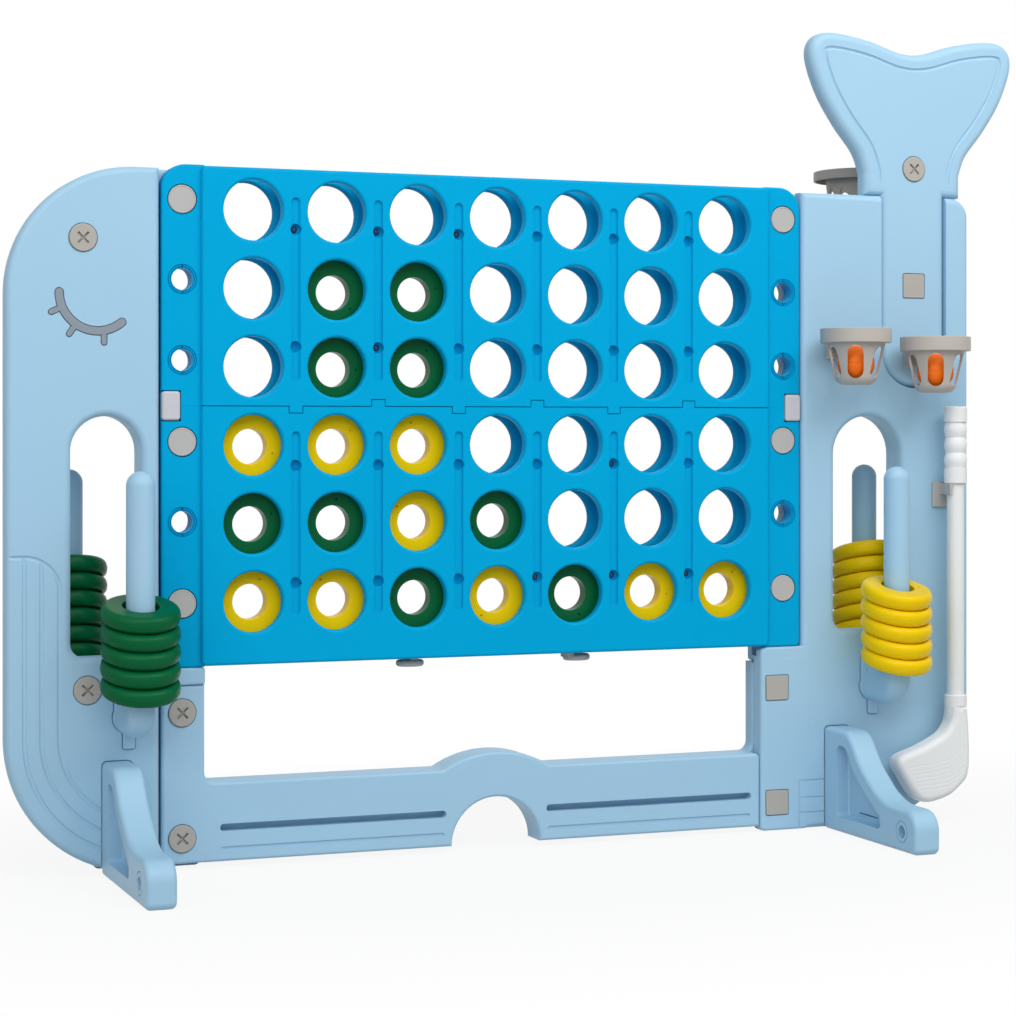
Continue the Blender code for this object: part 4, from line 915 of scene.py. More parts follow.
def make_groove_screws():
    """Pan-head screws at the bottom of the recesses."""
    radius = SCREW_DIAMETER / 2
    crown = arc((radius - SCREW_HEIGHT, 0.0), SCREW_HEIGHT, 80, 0, 5)
    crown = [(0.0, SCREW_HEIGHT)] + crown + [(0.0, 0.0)]
    seat = BOARD_FACE - FACE_PROUD + RECESS_DEPTH
    first = turned("screw", crown, FACING_FRONT, 20)
    cut(first, block("screw_slot", (-radius, -2 * SCREW_HEIGHT, -SCREW_SLOT_HALF),
                     (radius, -SCREW_SLOT_FLOOR, SCREW_SLOT_HALF)))
    screws = []
    for number, rise in SCREWS:
        spot = Matrix.Translation((rib_x(number), seat, SEAM_Z + rise))
        screws.append(copy_of(first, "screw", spot))
    bpy.data.meshes.remove(first.data)
    finish(gather("groove_screws", screws), SCREW_PAINTED_SHADE, "frame")


def make_plugs():
    """Round plugs in the seats of the side flanges, each with a fine raised rim."""
    radius = PLUG_DIAMETER / 2
    rim = EDGE_SOFTNESS
    depth = PLUG_DEPTH - FIT_GAP
    profile = [(0.0, 0.0), (radius - 2.5 * rim, 0.0), (radius - 2 * rim, rim / 2),
               (radius - rim, rim / 2), (radius, -rim / 2), (radius, -depth), (0.0, -depth)]
    first = turned("plug", profile, FACING_FRONT)
    face = BOARD_FACE + FLANGE_SUNK
    plugs = [copy_of(first, "plug", Matrix.Translation((x, face, z)))
             for x, z in side_spots(PLUG_RISES)]
    bpy.data.meshes.remove(first.data)
    finish(gather("flange_plugs", plugs), GREY, "frame")


def make_seam_clips():
    for node in ("head_seam_clip", "body_seam_clip"):
        low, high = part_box(node)
        outline = rounded_box(low.x, high.x, low.z, high.z, CLIP_CORNER, 4)
        name = node.replace("seam_clip", "edge_clip")
        clip = plate(name, [outline], low.y, high.y, CLIP_ROUNDING, steps=4)
        finish(clip, CLIP_GREY, "frame", node)


def make_release_bar():
    """A ladder whose rests stop the columns, with two oval thumb tabs under the board."""
    low, high = BAR_LOW.copy(), BAR_HIGH.copy()
    low.z = high.z - LADDER_HEIGHT
    bar = block("ladder_bar", low, high, LADDER_ROUNDING)
    for column in range(1, COLUMNS):
        left = column_x(column) + LAND_WIDTH / 2
        right = column_x(column + 1) - LAND_WIDTH / 2
        outline = rounded_box(left, right, -MOUTH_HALF, MOUTH_HALF, LADDER_CORNER, 4)
        cut(bar, plate("bar_window", [outline], low.z - WEB, high.z + WEB, 0.0, FROM_ABOVE))
    top = BOARD_BOTTOM - TAB_CLEARANCE
    for column, shift in zip(TAB_COLUMNS, TAB_SHIFTS):
        x = column_x(column)
        half = MOUTH_HALF - FIT_GAP
        fuse(bar, block("tab_stem", (x - LAND_WIDTH / 2, -half, top - TAB_THICKNESS / 2),
                        (x + LAND_WIDTH / 2, half, low.z + TAB_THICKNESS / 2)))
        oval = [(x + shift + TAB_LENGTH / 2 * across, TAB_DEPTH / 2 * along)
                for across, along in circle((0, 0), 1.0)]
        fuse(bar, plate("thumb_tab", [oval], top - TAB_THICKNESS, top, TAB_ROUNDING, FROM_ABOVE))
    finish(bar, GREY, "release_bar", "release_bar")


# Side panels.

def slot_loop(edge, way, slot):
    """A slot with an arched top and a floor with round corners."""
    inset, width, bottom, top = slot
    left, right = sorted((edge + way * inset, edge + way * (inset + width)))
    half = width / 2
    r = SLOT_FLOOR_RADIUS
    loop = arc(((left + right) / 2, top - half), half, 0, 180, 24)
    loop += arc((left + r, bottom + r), r, 180, 270, 8)
    return loop + arc((right - r, bottom + r), r, 270, 360, 8)


def add_tongue(panel, edge, inward):
    """The flange behind the board and the shelf under it."""
    low = LEG_TOP + FIT_GAP
    left, right = sorted((edge - inward * TONGUE_WIDTH / 4, edge + inward * TONGUE_WIDTH))
    outline = rounded_box(left, right, low, PANEL_TOP, 1.5 * TONGUE_ROUNDING, 4)
    fuse(panel, plate("tongue", [outline], FIT_GAP / 2, PANEL_FACE - SKIN_STEP, TONGUE_ROUNDING))
    deep = PANEL_FACE - 2 * SKIN_STEP
    fuse(panel, block("shelf", (left + SKIN_STEP, -deep, low + SKIN_STEP),
                      (right - SKIN_STEP, deep, BOARD_BOTTOM - FIT_GAP), TONGUE_ROUNDING))


def add_leg(panel, edge, inward, reach, facing):
    """The leg under the shelf, in front of the crossbar's leg or behind it."""
    left, right = sorted((edge - inward * TONGUE_WIDTH / 5,
                          edge + inward * (reach - 2 * SKIN_STEP)))
    near, far = sorted((facing * (FIT_GAP / 2 + SKIN_STEP), facing * (PANEL_FACE - 3 * SKIN_STEP)))
    top = BOARD_BOTTOM - FIT_GAP - SKIN_STEP
    outline = rounded_box(left, right, PANEL_LOW, top, 1.5 * LEG_ROUNDING, 4)
    fuse(panel, plate("leg", [outline], near, far, LEG_ROUNDING))


def cut_side_holes(panel):
    holes = [circle(spot, TONGUE_HOLE / 2) for spot in side_spots(SIDE_HOLE_RISES)]
    cut(panel, plate("tongue_holes", holes, -2 * PANEL_FACE, 2 * PANEL_FACE, 0.0))


def cut_lines(panel, runs, face, tool=LINE_RADIUS, lift=LINE_LIFT):
    """Moulded lines in the front of a panel, drawn by a round tool."""
    y = face - lift
    cut(panel, *[rod("line", [[(x, y, z) for x, z in run]], tool) for run in runs])


def cut_foot_seats(panel, name):
    """The line round each foot where it sits in the panel."""
    for place, facing in (("front", -1), ("rear", 1)):
        low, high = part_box(f"{place}_{name}_foot")
        outer = rounded_box(low.x - SEAT_GAP, high.x + SEAT_GAP, -FOOT_HEIGHT,
                            FOOT_HEIGHT + SEAT_GAP, FOOT_ROUNDING, 6)
        near, far = sorted((facing * (PANEL_FACE - SEAT_GAP * 2), facing * 2 * PANEL_FACE))
        cut(panel, plate("foot_seat", [outer], near, far, 0.0))


def bolt_room(node, head_facing):
    """A stepped tool for a bolt: a recess for its head and a bore for its shank."""
    low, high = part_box(node)
    x, _, z = middle_of(node)
    reach = high.y - low.y
    head_y = low.y if head_facing < 0 else high.y
    sink = BOLT_HEAD / 2 + BOLT_GAP
    bore = BOLT_SHANK / 2 + BOLT_PLAY
    under = -BOLT_SINK - FIT_GAP
    end = -reach - WEB
    profile = [(0.0, WEB), (sink, WEB), (sink, under), (bore, under), (bore, end), (0.0, end)]
    turn = FACING_FRONT if head_facing < 0 else FACING_BACK
    return turned("bolt_room", profile, Matrix.Translation((x, head_y, z)) @ turn, 32)


def nut_room(node, nut_facing):
    """A tool for the square recess of a bolt's nut."""
    low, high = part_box(node)
    x, _, z = middle_of(node)
    half = NUT_WIDTH / 2 + BOLT_GAP
    face = low.y if nut_facing < 0 else high.y
    near, far = sorted((face - nut_facing * (NUT_HEIGHT + FIT_GAP), face + nut_facing * WEB))
    outline = rounded_box(x - half, x + half, z - half, z + half, NUT_ROOM_CORNER, 3)
    return plate("nut_room", [outline], near, far, 0.0)


def two_shells(name, outline_of, edge, way, slot):
    """A panel moulded as a front shell and a rear shell that sits a little inside it."""
    inset, width, bottom, top = slot
    wide = (inset - SLOT_STEP, width + 2 * SLOT_STEP, bottom - SLOT_STEP, top + SLOT_STEP)
    front = [outline_of(0.0), slot_loop(edge, way, slot)]
    shell = plate(name, front, -PANEL_FACE, 2 * SEAT_GAP, PANEL_ROUNDING)
    rear = [outline_of(BACK_INSET), slot_loop(edge, way, wide)]
    return fuse(shell, plate("rear_shell", rear, -PANEL_ROUNDING, PANEL_FACE, PANEL_ROUNDING))


def head_outline(inset):
    turn = (HEAD_LOW.x + HEAD_TOP_RADIUS, PANEL_TOP - HEAD_TOP_RADIUS)
    edge = HEAD_EDGE - inset / BACK_EDGE_SHARE
    outline = [(edge, PANEL_TOP - inset)] + arc(turn, HEAD_TOP_RADIUS - inset, 90, 180, 28)
    turn = (HEAD_LOW.x + HEAD_BOTTOM_RADIUS, PANEL_LOW + HEAD_BOTTOM_RADIUS)
    outline += arc(turn, HEAD_BOTTOM_RADIUS - inset, 180, 270, 28)
    return outline + [(edge, PANEL_LOW + inset)]


def make_head_panel():
    left = HEAD_LOW.x
    panel = two_shells("head_panel", head_outline, HEAD_EDGE, -1, HEAD_SLOT)
    add_tongue(panel, HEAD_EDGE, 1)
    add_leg(panel, HEAD_EDGE, 1, TONGUE_WIDTH, 1)
    cut_side_holes(panel)
    cut(panel, bolt_room("head_bolt", -1), nut_room("head_bolt", 1), bolt_room("peg_bolt", -1))
    for level in ("upper", "lower"):
        cut(panel, bolt_room(f"{level}_head_leg_bolt", -1), nut_room(f"{level}_head_leg_bolt", 1))
    foot_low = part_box("front_head_foot")[0]
    centre = (left + HEAD_BOTTOM_RADIUS, PANEL_LOW + HEAD_BOTTOM_RADIUS)
    brow = (left + BELLY_INSETS[0], BELLY_TOP - BELLY_ARC)
    runs = [[(left - LINE_RADIUS, BELLY_TOP)] + arc(brow, BELLY_ARC, 90, 0, 10)]
    for inset in BELLY_INSETS:
        radius = HEAD_BOTTOM_RADIUS - inset
        x = left + inset
        top = brow[1] + math.sqrt(max(BELLY_ARC ** 2 - (x - brow[0]) ** 2, 0.0))
        stop = 180 + math.degrees(math.acos((centre[0] - foot_low.x) / radius))
        runs.append([(x, top)] + arc(centre, radius, 180, stop, 14))
    cut_lines(panel, runs, -PANEL_FACE)
    cut_foot_seats(panel, "head")
    cut_peg_seats(panel, "head")
    cut(panel, eye_shape("eye_seat", EYE_WIDTH + 2 * EYE_GAP, LASH_WIDTH + 2 * EYE_GAP,
                         -2 * PANEL_FACE, -PANEL_FACE + EYE_DEPTH, 0.0))
    finish(panel, SKY_BLUE, "frame", "head_side_panel")


def eye_shape(name, lid_width, lash_width, low, high, rounding):
    """A closed lid with three lashes, as one plate."""
    start, end = EYE_SPAN
    half = lid_width / 2
    lid = arc(EYE_CENTRE, EYE_RADIUS + half, start, end, 24)
    lid += arc(EYE_CENTRE + EYE_RADIUS * toward(end), half, end, end + 180, 8)[1:-1]
    lid += arc(EYE_CENTRE, EYE_RADIUS - half, end, start, 24)
    lid += arc(EYE_CENTRE + EYE_RADIUS * toward(start), half, start + 180, start + 360, 8)[1:-1]
    eye = plate(name, [lid], low, high, rounding, steps=3)
    low += LASH_SINK
    high -= LASH_SINK
    for along, heading in LASHES:
        root = EYE_CENTRE + EYE_RADIUS * toward(along)
        length = LASH_END - EYE_RADIUS - LASH_WIDTH / 2
        tip = root + length * toward(heading)
        fuse(eye, plate("lash", [lozenge(root, tip, lash_width)], low, high, rounding, steps=3))
    return eye


def make_eye():
    eye = eye_shape("closed_eye", EYE_WIDTH, LASH_WIDTH, -PANEL_FACE - EYE_PROUD,
                    -PANEL_FACE + EYE_DEPTH - FIT_GAP, EYE_ROUNDING)
    finish(eye, EYE_GREY, "frame", "sleepy_eye")


def stem_loop(clearance):
    """The tail's stem from its round foot up."""
    half = STEM_WIDTH / 2 + clearance
    low = PANEL_TOP - STEM_LENGTH - clearance
    return arc((TAIL_X, low + half), half, 180, 360, 28)


def body_outline(inset):
    turn = (BODY_HIGH.x - BODY_BOTTOM_RADIUS, PANEL_LOW + BODY_BOTTOM_RADIUS)
    edge = BODY_EDGE + inset / BACK_EDGE_SHARE
    outline = [(edge, PANEL_LOW + inset)] + arc(turn, BODY_BOTTOM_RADIUS - inset, 270, 360, 28)
    turn = (BODY_HIGH.x - BODY_TOP_RADIUS, PANEL_TOP - BODY_TOP_RADIUS)
    outline += arc(turn, BODY_TOP_RADIUS - inset, 0, 90, 12)
    return outline + [(edge, PANEL_TOP - inset)]


def cut_grille(panel):
    """Fine lines between the body's leg and its front foot."""
    top = GRILLE_HEIGHTS[0]
    lines = [((GRILLE_LEFT, -GRILLE_LINE), (GRILLE_LEFT, top))]
    lines += [((GRILLE_LEFT, height), (GRILLE_RIGHT, height)) for height in GRILLE_HEIGHTS]
    for near, far in lines:
        line = lozenge(near, far, GRILLE_LINE, 4)
        cut(panel, plate("grille", [line], -2 * PANEL_FACE, -PANEL_FACE + GRILLE_DEPTH, 0.0))


def make_body_panel():
    panel = two_shells("body_panel", body_outline, BODY_EDGE, 1, BODY_SLOT)
    add_tongue(panel, BODY_EDGE, -1)
    add_leg(panel, BODY_EDGE, -1, BODY_LEG, -1)
    half = STEM_WIDTH / 2 + STEM_GAP
    above = PANEL_TOP + STEM_WIDTH
    channel = stem_loop(STEM_GAP) + [(TAIL_X + half, above), (TAIL_X - half, above)]
    cut(panel, plate("stem_channel", [channel], -2 * PANEL_FACE, TAIL_HIGH.y + FIT_GAP, 0.0))
    foot = Vector((TAIL_X, PANEL_TOP - STEM_LENGTH + STEM_WIDTH / 2))

    def channel_edge(point):
        if abs(point.y + PANEL_FACE) > FIT_GAP:
            return False
        if point.z > foot.y:
            return abs(abs(point.x - TAIL_X) - half) < 2 * FIT_GAP
        return abs((Vector((point.x, point.z)) - foot).length - half) < 2 * FIT_GAP

    soften(panel, channel_edge, CHANNEL_ROUNDING, 4)
    cut_side_holes(panel)
    cut(panel, *release_room("panel_room"))
    for level in ("upper", "lower"):
        cut(panel, bolt_room(f"{level}_body_leg_bolt", 1), nut_room(f"{level}_body_leg_bolt", -1))
    cut(panel, bolt_room("stem_bolt", 1))
    cut_grille(panel)
    cut_foot_seats(panel, "body")
    cut_peg_seats(panel, "body")
    finish(panel, SKY_BLUE, "frame", "body_side_panel")


def make_tail():
    shoulder = PANEL_TOP + FIT_GAP
    half = STEM_WIDTH / 2
    run = smooth_run([(NECK_HALF, NECK_HEIGHT), *FLUKE], 8)
    side = [(TAIL_X + x, PANEL_TOP + z) for x, z in run]
    right = [(TAIL_X + half, shoulder), (TAIL_X + NECK_HALF, shoulder)] + side
    left = mirrored(right, TAIL_X)[-2::-1]
    outline = stem_loop(0.0) + right + left
    tail = plate("whale_tail", [outline], TAIL_LOW.y, TAIL_HIGH.y, TAIL_ROUNDING, steps=6)
    border = inset_run([(TAIL_X + NECK_HALF, PANEL_TOP + BORDER_LOW)] + side, BORDER_INSET)
    border[-1] = (TAIL_X, border[-1][1])
    border = [point for point in border
              if point[0] >= TAIL_X and clear_of(point, side, BORDER_SLACK * BORDER_INSET)]
    border += mirrored(border, TAIL_X)[-2::-1]
    cut_lines(tail, [border], TAIL_LOW.y, BORDER_TOOL, BORDER_LIFT)
    cut(tail, bolt_room("hoop_bolt", -1), bolt_room("stem_bolt", 1), nut_room("stem_bolt", -1))
    finish(tail, SKY_BLUE, "frame", "tail_backboard")


def leg_end(outer, inner):
    """The right end of the crossbar with a leg from outer to inner, and a fillet into the bar."""
    corner = arc((inner - LEG_FILLET, BAR_TOP + LEG_FILLET), LEG_FILLET, 360, 270, 8)
    return [(outer, BASE_LOW.z), (outer, LEG_TOP), (inner, LEG_TOP)] + corner


def make_crossbar():
    """A bar with a hump, an arch, and a leg at each end for the panel there."""
    hump_radius = (HUMP_HALF ** 2 + HUMP_RISE ** 2) / (2 * HUMP_RISE)
    spread = math.degrees(math.asin(HUMP_HALF / hump_radius))
    hump_low = BAR_TOP + HUMP_RISE - hump_radius
    hump = arc((BOARD_X, hump_low), hump_radius, 90 - spread, 90 + spread, 20)
    arch = arc((BOARD_X, BASE_LOW.z), ARCH_RADIUS, 180, 0, 28)
    outer = BOARD_X + BOARD_HALF
    inner = BODY_EDGE - BODY_LEG
    rear_end = BOARD_X - (REAR_HIGH.x - REAR_LOW.x) / 2
    front, back = BASE_LOW.y, BASE_HIGH.y
    bar_end = inner - FIT_GAP
    corner = arc((bar_end - BAR_CORNER, BAR_TOP - BAR_CORNER), BAR_CORNER, 0, 90, 6)
    outline = arch + [(bar_end, BASE_LOW.z)] + corner + hump
    outline += [(rear_end, BAR_TOP), (rear_end, BASE_LOW.z)]
    bar = plate("bottom_crossbar", [outline], front, back, BASE_ROUNDING)
    root = LEG_FILLET + LEG_WIDTH / 2
    head_leg = mirrored(leg_end(outer, outer - LEG_WIDTH), BOARD_X)
    low, high = BASE_LOW.z + SKIN_STEP, BAR_TOP - SKIN_STEP
    head_leg += [(head_leg[-1][0] + root, high), (head_leg[-1][0] + root, low)]
    body_leg = leg_end(outer, inner)
    body_leg += [(body_leg[-1][0] - root, high), (body_leg[-1][0] - root, low)]
    fuse(bar, plate("head_leg", [head_leg], front + SKIN_STEP, -FIT_GAP / 2, BASE_ROUNDING))
    fuse(bar, plate("body_leg", [body_leg], FIT_GAP / 2, back - SKIN_STEP, BASE_ROUNDING))
    for start, end, height, width, depth in (BASE_SLOT, BASE_GROOVE):
        loops = [lozenge((BOARD_X + way * start, height), (BOARD_X + way * end, height), width)
                 for way in (-1, 1)]
        cut(bar, plate("bar_slot", loops, 2 * front, front + depth, 0.0))
    for level in ("upper", "lower"):
        cut(bar, bolt_room(f"{level}_head_leg_bolt", -1), bolt_room(f"{level}_body_leg_bolt", 1))
    finish(bar, SKY_BLUE, "frame", "base_crossbar")


# Feet and pegs.

def foot_side():
    """A foot from the side, outward from the panel and up, from a little past the panel's face."""
    beyond = -FOOT_ROUNDING
    brow = smooth_run([*FOOT_BROW, (FOOT_REACH - TOE_RADIUS, TOE_HEIGHT)], 6)
    tip = arc((FOOT_REACH - TOE_RADIUS, TOE_HEIGHT - TOE_RADIUS), TOE_RADIUS, 90, 0, 12)
    sole = arc((FOOT_REACH - SOLE_RADIUS, SOLE_RADIUS), SOLE_RADIUS, 0, -90, 8)
    return [(beyond, 0.0), (beyond, FOOT_HEIGHT)] + brow + tip[1:] + sole


def hollow_side():
    """The hollow in a foot's side, with round corners and a slope under the brow."""
    r = HOLLOW_CORNER
    loop = arc((HOLLOW_NEAR + r, HOLLOW_LOW + r), r, 180, 270, 6)
    loop += arc((HOLLOW_FAR - r, HOLLOW_LOW + r), r, 270, 360, 6)
    loop += smooth_run(HOLLOW_SLOPE, 4)
    r = HOLLOW_TOP_CORNER
    return loop + arc((HOLLOW_NEAR + r, HOLLOW_HIGH - r), r, 90, 180, 8)


def make_foot(node, facing):
    low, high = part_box(node)
    start, outer = (high.y, low.x) if facing < 0 else (low.y, high.x)

    def from_panel(loop):
        return [(start + facing * out, up) for out, up in loop]

    def into_side(name, loops, depth, rounding=0.0):
        """A tool that goes into the foot's open side to a depth."""
        return plate(name, loops, outer - depth, outer + depth, rounding, FROM_SIDE)

    foot = plate(node.replace("_foot", "_leg_foot"), [from_panel(foot_side())], low.x, high.x,
                 FOOT_ROUNDING, FROM_SIDE, 7)
    wide = 2 * FOOT_ROUNDING
    root = sorted((start, start - facing * wide))
    cut(foot, block("past_panel", (low.x - wide, root[0], -wide),
                    (high.x + wide, root[1], FOOT_HEIGHT + wide)))
    cut(foot, into_side("hollow", [from_panel(hollow_side())], HOLLOW_DEPTH, HOLLOW_ROUNDING))
    near, far, height, width, depth = SLIT
    slit = lozenge((near, height), (far, height), width, 4)
    cut(foot, into_side("slit", [from_panel(slit)], HOLLOW_DEPTH + depth))
    spot = (FOOT_REACH - TOE_HOLE_BACK, TOE_HOLE_RISE)
    ring = [from_panel(circle(spot, TOE_RING / 2 - step)) for step in (0.0, TOE_RING_LINE)]
    cut(foot, into_side("toe_ring", ring, TOE_RING_LINE))
    hole = from_panel(circle(spot, TOE_HOLE / 2, 28))
    cut(foot, plate("toe_hole", [hole], low.x - wide, high.x + wide, 0.0, FROM_SIDE))

    def rim(point):
        return abs(point.x - outer) < FIT_GAP and point.z > HOLLOW_LOW / 3

    soften(foot, rim, HOLLOW_ROUNDING / 2, 3)
    finish(foot, SKY_BLUE, "frame", node)


def make_feet():
    for panel in ("head", "body"):
        make_foot(f"front_{panel}_foot", -1)
        make_foot(f"rear_{panel}_foot", 1)


def peg_places():
    """Panel, place, facing and middle of each peg's pile."""
    for panel in ("head", "body"):
        for place, facing in (("front", -1), ("rear", 1)):
            low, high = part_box(f"{place}_{panel}_ring_pile")
            yield panel, place, facing, (low + high) / 2


def peg_outline(x, grow):
    """The plate of a peg from the front: a neck, a round foot and a tab below it."""
    r = PEG_PLATE_RADIUS + grow
    neck = PEG_PLATE_NECK + grow
    half = PEG_TAB_WIDTH / 2 + grow
    corner = PEG_TAB_CORNER + grow
    low = PEG_SEAT_Z - PEG_LOW
    foot = (x, low + PEG_PLATE_RADIUS)
    waist = math.degrees(math.acos(neck / r))
    tuck = math.degrees(math.acos(half / r))
    outline = arc((x, PEG_SEAT_Z + PEG_PLATE_RISE - PEG_PLATE_NECK), neck, 0, 180, 20)
    outline += arc(foot, r, 180 - waist, 180 + tuck, 10)
    outline += arc((x - half + corner, low - PEG_TAB - grow + corner), corner, 180, 270, 4)
    outline += arc((x + half - corner, low - PEG_TAB - grow + corner), corner, 270, 360, 4)
    return outline + arc(foot, r, 360 - tuck, 360 + waist, 10)


def cut_peg_seats(panel, name):
    """A shallow seat in the panel for the plate of each peg."""
    for owner, _, facing, middle in peg_places():
        if owner == name:
            near, far = sorted((facing * (PANEL_FACE - 2 * SEAT_GAP), facing * 2 * PANEL_FACE))
            cut(panel, plate("peg_seat", [peg_outline(middle.x, SEAT_GAP)], near, far, 0.0))


def make_pegs():
    """Round-ended pegs, each with an elbow to its plate, sloped where the rings rest."""
    radius = PEG_DIAMETER / 2
    slope = math.tan(math.radians(PEG_LEAN))
    inside = -PEG_ARM_ROUNDING
    tip = PEG_SEAT_LIFT - slope * radius
    elbow = smooth_run([(PEG_REACH + radius, tip), *PEG_ELBOW], 6)
    side = [(inside, -PEG_LOW), (inside, PEG_SEAT_LIFT + slope * (PEG_REACH - inside))] + elbow
    profile = arc((0.0, PEG_LENGTH - radius), radius, 90, 0, 12)
    profile += [(radius, tip - PEG_ROOT), (0.0, tip - PEG_ROOT)]
    profile[0] = (0.0, PEG_LENGTH)
    for panel, place, facing, middle in peg_places():
        x = middle.x
        panel_face = facing * PANEL_FACE
        peg = turned(f"{place}_{panel}_ring_peg", profile,
                     Matrix.Translation((x, panel_face + facing * PEG_REACH, PEG_SEAT_Z)), 40)
        outline = [(panel_face + facing * out, PEG_SEAT_Z + up) for out, up in side]
        fuse(peg, plate("peg_arm", [outline], x - PEG_ARM_HALF, x + PEG_ARM_HALF, PEG_ARM_ROUNDING,
                        FROM_SIDE, 7))
        near, far = sorted((0.0, panel_face + facing * FIT_GAP))
        cut(peg, block("in_panel", (x - 2 * radius, near, PEG_SEAT_Z - 2 * PEG_LOW),
                       (x + 2 * radius, far, PEG_SEAT_Z + 2 * PEG_LOW)))
        seat = panel_face - facing * (2 * SEAT_GAP - FIT_GAP)
        near, far = sorted((seat, panel_face + facing * PEG_PLATE))
        fuse(peg, plate("peg_plate", [peg_outline(x, 0.0)], near, far, PEG_ROUNDING, steps=3))
        out, up, diameter = PEG_VENT
        vent = circle((panel_face + facing * out, PEG_SEAT_Z + up), diameter / 2, 16)
        cut(peg, plate("peg_vent", [vent], x - 2 * radius, x - PEG_ARM_HALF + diameter, 0.0,
                       FROM_SIDE))
        if (place, panel) == ("rear", "head"):
            cut(peg, bolt_room("peg_bolt", -1))
        finish(peg, SKY_BLUE, "frame", f"{place}_{panel}_peg")


# Rings, balls and what holds them.

def make_ring():
    """A ring lying flat about the origin, with a vent in its upper face."""
    half = RING_HEIGHT / 2
    outer = RING_DIAMETER / 2
    bore = RING_BORE / 2
    corner = RING_CORNER
    belly = outer - RING_CROWN
    profile = arc((belly - corner, half - corner), corner, 90, RING_CROWN_ANGLE, 7)
    profile += [(outer, 0.0)]
    profile += arc((belly - corner, -half + corner), corner, -RING_CROWN_ANGLE, -90, 7)
    profile += arc((bore + BORE_CORNER, -half + BORE_CORNER), BORE_CORNER, 270, 180, 4)
    profile += arc((bore + BORE_CORNER, half - BORE_CORNER), BORE_CORNER, 180, 90, 4)
    ring = turned("ring", profile, FROM_ABOVE, 64, closed=True)
    spot = VENT_RADIUS * toward(VENT_ANGLE)
    hole = circle(spot, VENT / 2, 12)
    cut(ring, plate("vent", [hole], half - VENT, half + VENT, 0.0, FROM_ABOVE))
    return ring


def make_rings():
    first = make_ring()
    for row, column in sorted(GREEN_CELLS | YELLOW_CELLS):
        node = f"ring_row{row}_column{column}"
        turn = Matrix.Rotation(row * COLUMNS + column, 4, "Z")
        place = Matrix.Translation(middle_of(node)) @ FACING_FRONT @ turn
        look = GREEN if (row, column) in GREEN_CELLS else YELLOW
        finish(copy_of(first, f"game_ring_{row}_{column}", place), look, node, node)
    for panel, place, facing, middle in peg_places():
        node = f"{place}_{panel}_ring_pile"
        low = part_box(node)[0]
        count = FRONT_PILE if place == "front" else REAR_PILE
        lean = math.radians(PEG_LEAN)
        step = RING_HEIGHT / math.cos(lean)
        roll = math.radians(PILE_ROLLS.get(f"{place}_{panel}", 0.0))
        leaning = Matrix.Rotation(-facing * lean, 4, "X") @ Matrix.Rotation(roll, 4, "Y")
        pile = []
        for number in range(count):
            height = low.z + PEG_SEAT_LIFT + PILE_LIFT + (number + 0.5) * step
            spot = Matrix.Translation((middle.x, middle.y, height))
            turn = Matrix.Rotation(number, 4, "Z")
            pile.append(copy_of(first, "pile_ring", spot @ leaning @ turn))
        look = GREEN if panel == "head" else YELLOW
        finish(gather(f"{place}_{panel}_pile", pile), look, node, node)
    bpy.data.meshes.remove(first.data)


def spokes(name, count, start_radius, end_radius, loop, place):
    """Cutting tools set round an axis, the first of them at the front."""
    first = plate(name, [loop], -end_radius, -start_radius, 0.0)
    tools = [copy_of(first, name, place @ Matrix.Rotation(math.tau * i / count, 4, "Z"))
             for i in range(count)]
    bpy.data.meshes.remove(first.data)
    return gather(name, tools)


def make_cups():
    """Slotted cups with a bracket on the panel, and a ball in each."""
    wall = CUP_WALL
    rim_low = CUP_HEIGHT - CUP_RIM_HEIGHT
    lip = CUP_LIP
    foot = CUP_FOOT_ROUNDING
    inside = [(0.0, wall)] + arc((CUP_FOOT_RADIUS - foot, foot), foot - wall, -90, 0, 6)
    inside += [(CUP_TOP_RADIUS - wall, rim_low), (CUP_RIM_RADIUS - wall, rim_low + wall)]
    inside += arc((CUP_RIM_RADIUS - wall + lip, CUP_HEIGHT - lip), lip, 180, 90, 3)
    outside = arc((CUP_RIM_RADIUS - lip, CUP_HEIGHT - lip), lip, 90, 0, 3)
    outside += arc((CUP_RIM_RADIUS - lip, rim_low + lip), lip, 0, -90, 3)
    outside += [(CUP_TOP_RADIUS, rim_low)] + arc((CUP_FOOT_RADIUS - foot, foot), foot, 0, -90, 8)
    outside += [(0.0, 0.0)]
    for name in ("inner", "outer"):
        node = f"{name}_ball_cup"
        low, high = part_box(node)
        x = middle_of(node)[0]
        axis_y = -PANEL_FACE - CUP_REACH
        place = Matrix.Translation((x, axis_y, low.z))
        cup = turned(f"{name}_cup", inside + outside, place, 64)
        bottom, top = CUP_SLOT
        half = CUP_SLOT_WIDTH / 2
        slot = lozenge((0.0, bottom + half), (0.0, top - half), CUP_SLOT_WIDTH)
        aim = place @ Matrix.Rotation(math.radians(CUP_TURN), 4, "Z")
        cut(cup, spokes("cup_slots", CUP_SLOTS, CUP_FOOT_RADIUS / 2, CUP_RIM_RADIUS, slot, aim))
        half = CUP_BRACKET_WIDTH / 2
        head = high.z - CUP_BRACKET_DROP
        root = axis_y + CUP_RIM_RADIUS - wall / 2
        fuse(cup, block("bracket", (x - half, root, head - CUP_BRACKET_HEIGHT),
                        (x + half, high.y, head), CUP_BRACKET_ROUNDING))
        finish(cup, WARM_GREY, "frame", node)
        make_ball(name)


